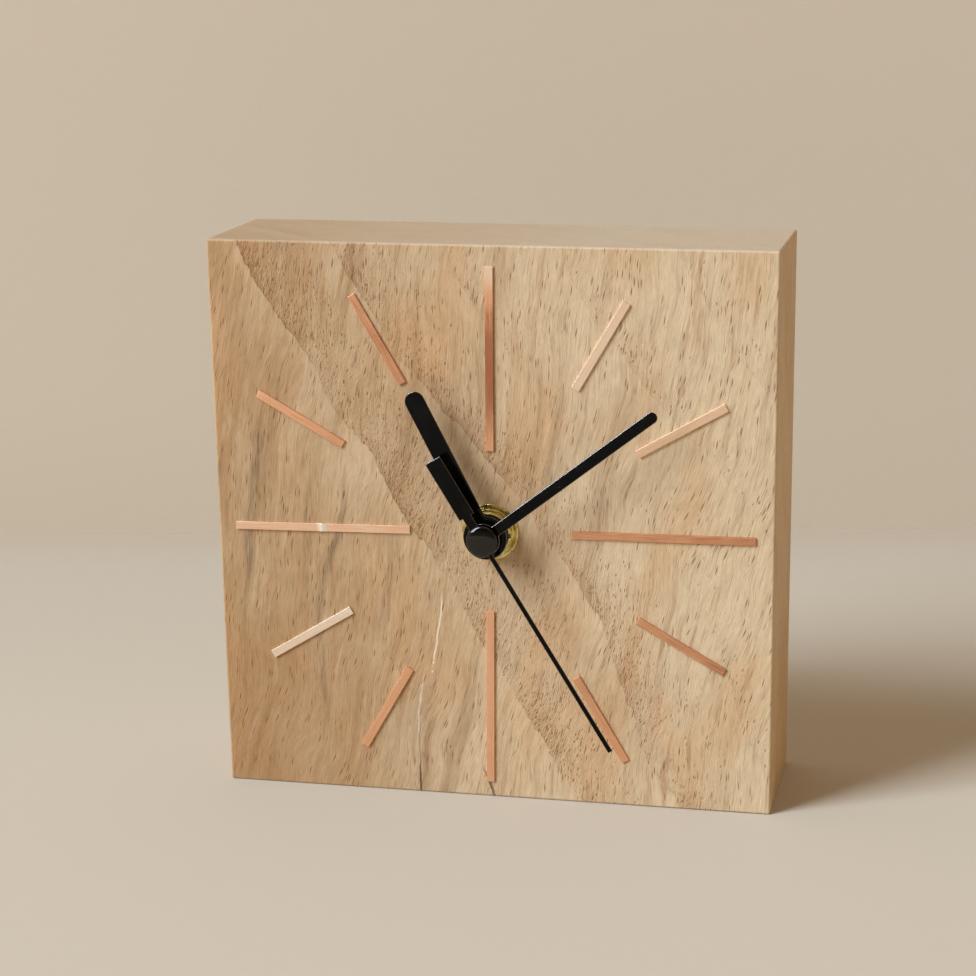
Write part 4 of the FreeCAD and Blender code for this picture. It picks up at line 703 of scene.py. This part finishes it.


def strip_tree():
    """A thin bar along X that bows a little, with a crease, its tones and its lie kept as attributes."""
    t = Tree("hour_strip")
    length, width, thickness = t.input("Length"), t.input("Width"), t.input("Thickness")
    bow, crease = t.input("Bow"), t.input("Crease")
    outer, middle, inner = t.input("Outer Tone"), t.input("Middle Tone"), t.input("Inner Tone")
    turn, spot = t.input("Turn", "NodeSocketVector"), t.input("Spot", "NodeSocketVector")
    seed = t.input("Seed")

    size = t.vector(X=length, Y=thickness, Z=width)
    bar = t.node("GeometryNodeMeshCube", inputs={"Size": size, **STRIP_CELLS})["Mesh"]
    position = t.node("GeometryNodeInputPosition")[0]
    parts = t.node("ShaderNodeSeparateXYZ", inputs={0: position})
    share = t.math("DIVIDE", parts["X"], length)
    wave = t.node("ShaderNodeTexNoise", {"noise_dimensions": "3D"},
                  {"Vector": t.vector(X=t.math("MULTIPLY", share, 2.5), Y=seed),
                   "Scale": 1.0, "Detail": 1.0})["Fac"]
    lift = t.math("MULTIPLY", t.math("SUBTRACT", wave, 0.5), bow)
    from_crease = t.math("DIVIDE", t.math("ABSOLUTE", parts["X"]), CREASE_REACH * MM)
    ridge = t.math("MAXIMUM", t.math("SUBTRACT", 1.0, from_crease), 0.0)
    lift = t.math("SUBTRACT", lift, t.math("MULTIPLY", ridge, crease))
    bent = t.node("GeometryNodeSetPosition", inputs={"Geometry": bar, "Offset": t.vector(Y=lift)})[0]

    # the tone runs from outer through middle to inner along the strip
    end_share = t.math("MULTIPLY", t.math("ABSOLUTE", share), 2.0)
    is_outer = t.math("GREATER_THAN", share, 0.0)
    end_tone = t.math("ADD", t.math("MULTIPLY", outer, is_outer),
                      t.math("MULTIPLY", inner, t.math("SUBTRACT", 1.0, is_outer)))
    soft = t.math("SMOOTH_MIN", t.math("MULTIPLY", t.math("MULTIPLY", end_share, end_share), 1.25), 1.0, 0.2)
    tone = t.math("ADD", t.math("MULTIPLY", end_tone, soft),
                  t.math("MULTIPLY", middle, t.math("SUBTRACT", 1.0, soft)))
    # the crease's ridge gets a painted highlight in its tone
    shine = t.math("MULTIPLY", t.math("GREATER_THAN", crease, 0.0), CREASE_SHINE)
    tone = t.math("ADD", tone, t.math("MULTIPLY", ridge, shine))
    toned = t.node("GeometryNodeStoreNamedAttribute", {"data_type": "FLOAT", "domain": "POINT"},
                   {"Geometry": bent, "Name": "tone", "Value": tone})["Geometry"]
    lay = t.node("ShaderNodeVectorMath", {"operation": "SCALE"},
                 {0: t.vector(X=parts["X"], Y=parts["Z"], Z=seed), "Scale": 1 / MM})[0]
    laid = t.node("GeometryNodeStoreNamedAttribute", {"data_type": "FLOAT_VECTOR", "domain": "POINT"},
                  {"Geometry": toned, "Name": "lay", "Value": lay})["Geometry"]
    placed = t.node("GeometryNodeTransform",
                    inputs={"Geometry": laid, "Translation": spot, "Rotation": turn})[0]
    return t.end(placed, FINISHES["strip_copper"])


# hour: tones at the outer end, middle and inner end, which paint how brightly each part reflects the room,
# and how far the strip bows, in millimetres
STRIP_LOOKS = {
    1: (0.98, 1.08, 1.12, 0.05), 2: (0.95, 0.9, 0.8, 0.06), 3: (0.32, 0.36, 0.38, 0.02),
    4: (0.3, 0.34, 0.38, 0.05), 5: (0.5, 0.46, 0.44, 0.05), 6: (0.6, 0.62, 0.6, 0.03),
    7: (0.52, 0.56, 0.56, 0.06), 8: (1.16, 1.2, 1.24, 0.05), 9: (0.8, 0.84, 0.76, 0.05),
    10: (0.62, 0.5, 0.42, 0.06), 11: (0.42, 0.3, 0.32, 0.05), 12: (0.98, 0.02, 0.48, 0.07),
}
CREASED_HOUR = 9
CREASE_HEIGHT = 0.16
STRIP_BEVEL = 0.06
SEED_STEP = 3.7                         # keeps the strips' noise apart


def span(points, direction):
    """How far points reach along a direction."""
    reaches = [point.dot(direction) for point in points]
    return max(reaches) - min(reaches)


def hour_strips():
    """Twelve strips, each laid along its own CAD node."""
    tree = strip_tree()
    for hour, (outer, middle, inner, bow) in STRIP_LOOKS.items():
        node, name = f"hour_marker_{hour:02d}", f"copper_strip_{hour:02d}"
        low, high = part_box(node)
        centre = (low + high) / 2
        corners = [vertex.co - centre for vertex in frame["nodes"][node].data.vertices]
        outermost = max(corners, key=lambda corner: (corner + centre - DIAL).length)
        spread_xx, spread_zz = sum(c.x ** 2 for c in corners), sum(c.z ** 2 for c in corners)
        spread_xz = sum(c.x * c.z for c in corners)
        lean = math.atan2(2 * spread_xz, spread_xx - spread_zz) / 2
        along = Vector((math.cos(lean), 0, math.sin(lean)))
        if along.dot(outermost) < 0:
            along = -along
        side = Vector((-along.z, 0, along.x))
        mesh = tree.run(name, {
            "Length": span(corners, along), "Width": span(corners, side), "Thickness": high.y - low.y,
            "Bow": bow * MM, "Crease": CREASE_HEIGHT * MM if hour == CREASED_HOUR else 0.0,
            "Outer Tone": outer, "Middle Tone": middle, "Inner Tone": inner,
            "Turn": (0.0, -math.atan2(along.z, along.x), 0.0), "Spot": tuple(centre),
            "Seed": hour * SEED_STEP}, STRIP_BEVEL)
        for face in mesh.polygons:
            face.use_smooth = False
        stand_in(name, mesh, node)


# ---- the fixing at the middle of the dial, in millimetres, where -Y is towards the front

WASHER_BACK, WASHER_FRONT = -19.0, -19.8
WASHER_HOLE, WASHER_RADIUS = 4.05, 7.0
WASHER_EDGE = 0.25                      # the radius of its rounded rim
WASHER_EDGE_MIDDLE = (6.85, -19.25)
WASHER_EDGE_STEPS = 6
PRESSED_GROOVE = [(6.45, -19.52), (6.25, -19.42), (5.95, -19.42), (5.75, -19.74)]
PRESSED_TOP = 5.6                       # where the raised ring round the nut begins


def fixing():
    """The pressed brass washer with its raised ring, and the round nut on the threaded bush."""
    reach, height = WASHER_EDGE_MIDDLE
    turns = [math.radians(30 - 120 * step / WASHER_EDGE_STEPS) for step in range(WASHER_EDGE_STEPS + 1)]
    rim = [(reach + WASHER_EDGE * math.cos(turn), height + WASHER_EDGE * math.sin(turn)) for turn in turns]
    outline = [(WASHER_HOLE, WASHER_BACK), (WASHER_RADIUS, WASHER_BACK), *rim, *PRESSED_GROOVE,
               (PRESSED_TOP, WASHER_FRONT), (WASHER_HOLE, WASHER_FRONT)]
    stand_in("pressed_washer", lathe("pressed_washer", outline, finish_of("brass_washer")), "brass_washer")
    eased("slotted_nut", "round_nut", 0.12, 3)
    eased("fixing_bush", "threaded_bush", 0.1)


# ---- the hands and their cap

CAP_FULLER = 0.35                       # millimetres by which the cap is rounder than its bare CAD disc
CAP_STEPS = 14
CAP_WALL = 0.1                          # the height of its upright rim
CAP_TUCK = 0.06                         # how far the rim's foot draws in


def hands():
    eased("lacquered_hour_hand", "hour_hand", 0.42, 5)
    eased("lacquered_minute_hand", "minute_hand", 0.42, 5)
    eased("lacquered_second_hand", "second_hand", 0.26, 4)
    low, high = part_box("second_hand_cap")
    radius = (high.x - low.x) / 2 / MM + CAP_FULLER
    front, back = low.y / MM, high.y / MM
    turns = [math.pi / 2 * step / CAP_STEPS for step in range(1, CAP_STEPS + 1)]
    dome = [(radius * math.sin(turn), front + (back - front - CAP_WALL) * (1 - math.cos(turn)))
            for turn in turns]
    outline = [(0.0, front), *dome, (radius - CAP_TUCK, back), (0.0, back)]
    mesh = lathe("domed_cap", outline, finish_of("second_hand_cap"), (0.0, (low.z + high.z) / 2 / MM))
    stand_in("domed_cap", mesh, "second_hand_cap")


# ---- the movement, in millimetres

GRIP_RIDGES = 15
GRIP_PITCH = 1.9
GRIP_START = Vector((-24.0, 10.15, 63.2))
GRIP_RIDGE = Vector((0.8, 0.5, 5.6))
GRIP_BEVEL = 0.14
COVER_BACK = 10.0                       # where the cover's outer face lies, along Y
COLLAR = [(7.2, -0.05), (7.95, -0.05), (7.95, 0.3), (7.8, 0.42), (7.35, 0.42), (7.2, 0.3)]


def ridge_tree():
    """A row of equal upright ridges along X."""
    t = Tree("ridge_row")
    count, pitch = t.input("Count", "NodeSocketInt"), t.input("Pitch")
    start, size = t.input("Start", "NodeSocketVector"), t.input("Size", "NodeSocketVector")
    line = t.node("GeometryNodeMeshLine",
                  inputs={"Count": count, "Start Location": start, "Offset": t.vector(X=pitch)})["Mesh"]
    ridge = t.node("GeometryNodeMeshCube", inputs={"Size": size})["Mesh"]
    row = t.node("GeometryNodeInstanceOnPoints", inputs={"Points": line, "Instance": ridge})[0]
    return t.end(row, FINISHES["case_plastic"])


def movement():
    """The moulded case and cover, the knob, the contacts, and what the cover carries outside."""
    eased("moulded_case", "movement_front_case", 0.2)
    eased("moulded_cover", "movement_rear_cover", 0.25)
    for name, node, width in (("grooved_knob", "setting_knob", 0.12),
                              ("sprung_contact", "battery_contact_negative", 0.08),
                              ("plate_contact", "battery_contact_positive", 0.08)):
        eased(name, node, width, angle=40.0)
    grip = ridge_tree().run("cover_grip", {
        "Count": GRIP_RIDGES, "Pitch": GRIP_PITCH * MM, "Start": tuple(GRIP_START * MM),
        "Size": tuple(GRIP_RIDGE * MM)}, GRIP_BEVEL)
    new_piece("cover_grip", grip, "root")
    low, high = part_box("setting_knob")
    middle = ((low.x + high.x) / 2 / MM, (low.z + high.z) / 2 / MM)
    outline = [(radius, COVER_BACK + rise) for radius, rise in COLLAR]
    collar = lathe("knob_collar", outline, FINISHES["case_plastic"], middle)
    new_piece("knob_collar", collar, "root")


CELL_CAP = 1.3                          # how far the plus pole stands out of the jacket
ROLLED_END = [(0.55, 0.0), (0.2, 0.08), (0.03, 0.35), (0.0, 0.8)]     # (in from the wall, in from the end)
JACKET_LIP = 1.6                        # how far the film reaches over each end
CAN_RADIUS, CAN_INSET = 1.62, 0.32      # in from the cell's wall and from the jacket's ends
JACKET_THICKNESS = 0.7


def cell():
    """The AA cell: a shrunk jacket with rolled ends round a plated can, and the cap at its plus pole."""
    low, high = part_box("battery")
    radius = (high.y - low.y) / 2 / MM
    centre = ((low.y + high.y) / 2 / MM, (low.z + high.z) / 2 / MM)
    left, right = low.x / MM, high.x / MM
    shoulder = right - CELL_CAP
    lip, inner = radius - JACKET_LIP, radius - JACKET_THICKNESS
    jacket = [(lip, left + 0.04),
              *((radius - inset, left + rise) for inset, rise in ROLLED_END),
              *((radius - inset, shoulder - rise) for inset, rise in reversed(ROLLED_END)),
              (lip, shoulder - 0.04), (lip, shoulder - 0.3),
              (inner, shoulder - 0.6), (inner, left + 0.6), (lip, left + 0.3)]
    mesh = lathe("shrunk_jacket", jacket, finish_of("battery"), centre, "X")
    stand_in("shrunk_jacket", mesh, "battery")
    can = [(0.0, left + 0.02), (3.4, left + 0.02), (3.6, left + 0.12), (4.6, left + 0.12),
           (radius - CAN_RADIUS, left + CAN_INSET), (radius - CAN_RADIUS, shoulder - CAN_INSET),
           (4.3, shoulder - 0.3), (3.9, shoulder - 0.12), (2.95, shoulder - 0.05), (2.75, shoulder + 0.15),
           (2.75, right - 0.3), (2.45, right), (0.0, right)]
    new_piece("cell_can", lathe("cell_can", can, CELL_METAL, centre, "X"), "root")


hour_strips()
fixing()
hands()
movement()
cell()
for node, piece in frame["nodes"].items():
    piece.data.materials.clear()
    piece.data.materials.append(finish_of(node))


# ---- the camera, the stage and the light

CAMERA_SPOT = Vector((0.126617, -0.556196, 0.218143))
CAMERA_RIGHT = Vector((0.98021, 0.19785, -0.00709))
CAMERA_DOWN = Vector((0.04743, -0.26946, -0.96184))
CAMERA_AHEAD = Vector((-0.19221, 0.94247, -0.27351))
LENS = 85.82
SENSOR = 36.0
SHIFT = (-0.07265, 0.07734)


def camera():
    data = bpy.data.cameras.new("camera")
    data.lens = LENS
    data.sensor_width = SENSOR
    data.sensor_fit = "HORIZONTAL"
    data.shift_x, data.shift_y = SHIFT
    data.clip_start, data.clip_end = 0.01, 50.0
    made = bpy.data.objects.new("camera", data)
    turn = Matrix((CAMERA_RIGHT, -CAMERA_DOWN, -CAMERA_AHEAD)).transposed()
    made.matrix_world = Matrix.Translation(CAMERA_SPOT) @ turn.to_4x4()
    bpy.context.scene.collection.objects.link(made)
    bpy.context.scene.camera = made


FLOOR_START = -2.0                      # metres from the camera's foot, ahead
SWEEP_REACH = 0.81                      # from the camera's foot to the backdrop
SWEEP_WIDTH = 3.0                       # to each side
SWEEP_HEIGHT = 2.2
FLOOR_TINT, WALL_TINT, FAR_FLOOR_TINT = tint(199, 188, 172), tint(216, 202, 182), tint(199, 184, 164)


def sweep():
    """A pale floor and a backdrop that stands at its end. Seen from behind, the backdrop is clear."""
    ahead = Vector((CAMERA_AHEAD.x, CAMERA_AHEAD.y, 0)).normalized()
    aside = Vector((ahead.y, -ahead.x, 0))
    foot = Vector((CAMERA_SPOT.x, CAMERA_SPOT.y, 0))
    surface = bmesh.new()
    rows = [[surface.verts.new(foot + ahead * reach + aside * side + Vector((0, 0, height)))
             for side in (-SWEEP_WIDTH, SWEEP_WIDTH)]
            for reach, height in ((FLOOR_START, 0.0), (SWEEP_REACH, 0.0), (SWEEP_REACH, SWEEP_HEIGHT))]
    for row, following in zip(rows, rows[1:]):
        surface.faces.new((row[0], row[1], following[1], following[0]))
    mesh = bpy.data.meshes.new("studio_sweep")
    surface.to_mesh(mesh)
    surface.free()
    made = bpy.data.objects.new("studio_sweep", mesh)
    bpy.context.scene.collection.objects.link(made)

    f = Finish("sweep_paper")
    axes = x, y, z = f.place()
    wall = z.smooth(0.0, 0.02)
    floor = 1 - wall
    to_wall = x * ahead.x + y * ahead.y - (foot.dot(ahead) + SWEEP_REACH) / MM
    colour = f.mix(wall, FLOOR_TINT, WALL_TINT)
    colour = f.mix(to_wall.smooth(-40.0, -4.0) * floor * 0.8, colour, FAR_FLOOR_TINT)
    # painted shade: the floor dims towards the backdrop, most near the corner, and the backdrop darkens near
    # its foot
    floor_shade_to_wall = to_wall.smooth(-330.0, -20.0) * 0.08 + to_wall.smooth(-60.0, -5.0) * 0.03
    corner = z.smooth(60.0, 4.0) * 0.03 * wall + floor_shade_to_wall * floor
    colour = f.brighter(colour, f.noise(f.spot(axes, 0.9), 2.0) * 0.012 - corner)
    colour = f.brighter(colour, f.noise(f.spot(axes, 0.25), 3.0) * 0.006)
    paper = f.node("ShaderNodeBsdfDiffuse", inputs={"Color": colour})["BSDF"]
    clear = f.node("ShaderNodeBsdfTransparent")["BSDF"]
    behind = f.node("ShaderNodeNewGeometry")["Backfacing"]
    shown = f.node("ShaderNodeMixShader", inputs={0: behind, 1: paper, 2: clear})["Shader"]
    f.node("ShaderNodeOutputMaterial", inputs={"Surface": shown})
    mesh.materials.append(f.material)


WINDOW_BEARING, WINDOW_RISE = math.radians(50), math.radians(38)    # left of the front, above the floor
WINDOW_DISTANCE = 8.0
WINDOW_SIZE = (2.9, 6.2)
WINDOW_WATTS = 790.0
WINDOW_COLOUR = (0.9, 1.03, 1.17)
ROOM_COLOUR = (1.18, 0.85, 0.53, 1.0)
ROOM_LEVEL = 0.62


def light():
    """One tall soft window to the left, and a warm room that is darker above, in front and to the right."""
    data = bpy.data.lights.new("key_window", "AREA")
    data.shape = "RECTANGLE"
    data.size, data.size_y = WINDOW_SIZE
    data.energy = WINDOW_WATTS
    data.color = WINDOW_COLOUR
    window = bpy.data.objects.new("key_window", data)
    flat = math.cos(WINDOW_RISE)
    towards = Vector((-math.sin(WINDOW_BEARING) * flat, -math.cos(WINDOW_BEARING) * flat,
                      math.sin(WINDOW_RISE)))
    window.location = DIAL + towards * WINDOW_DISTANCE
    window.rotation_mode = "QUATERNION"
    window.rotation_quaternion = (-towards).to_track_quat("-Z", "Y")
    bpy.context.scene.collection.objects.link(window)

    world = bpy.data.worlds.new("room")
    world.use_nodes = True
    f = Finish.of_world(world)
    aside, ahead, rise = f.split(f.node("ShaderNodeTexCoord")["Generated"])
    in_front = ahead.smooth(-0.4, -0.85) * rise.smooth(-0.02, 0.06) * rise.smooth(0.95, 0.6)
    level = ROOM_LEVEL - rise.smooth(0.05, 0.85) * 0.27 - in_front * 0.42 - aside.smooth(0.2, 0.9) * 0.08
    seen = f.node("ShaderNodeLightPath")["Is Camera Ray"]
    colour = f.mix(seen, ROOM_COLOUR, tint(204, 190, 172))
    room = f.node("ShaderNodeBackground", inputs={"Color": colour, "Strength": level * (1 - seen) + seen})
    f.node("ShaderNodeOutputWorld", inputs={"Surface": room["Background"]})
    bpy.context.scene.world = world


camera()
sweep()
light()
bpy.context.scene.view_settings.view_transform = "Standard"
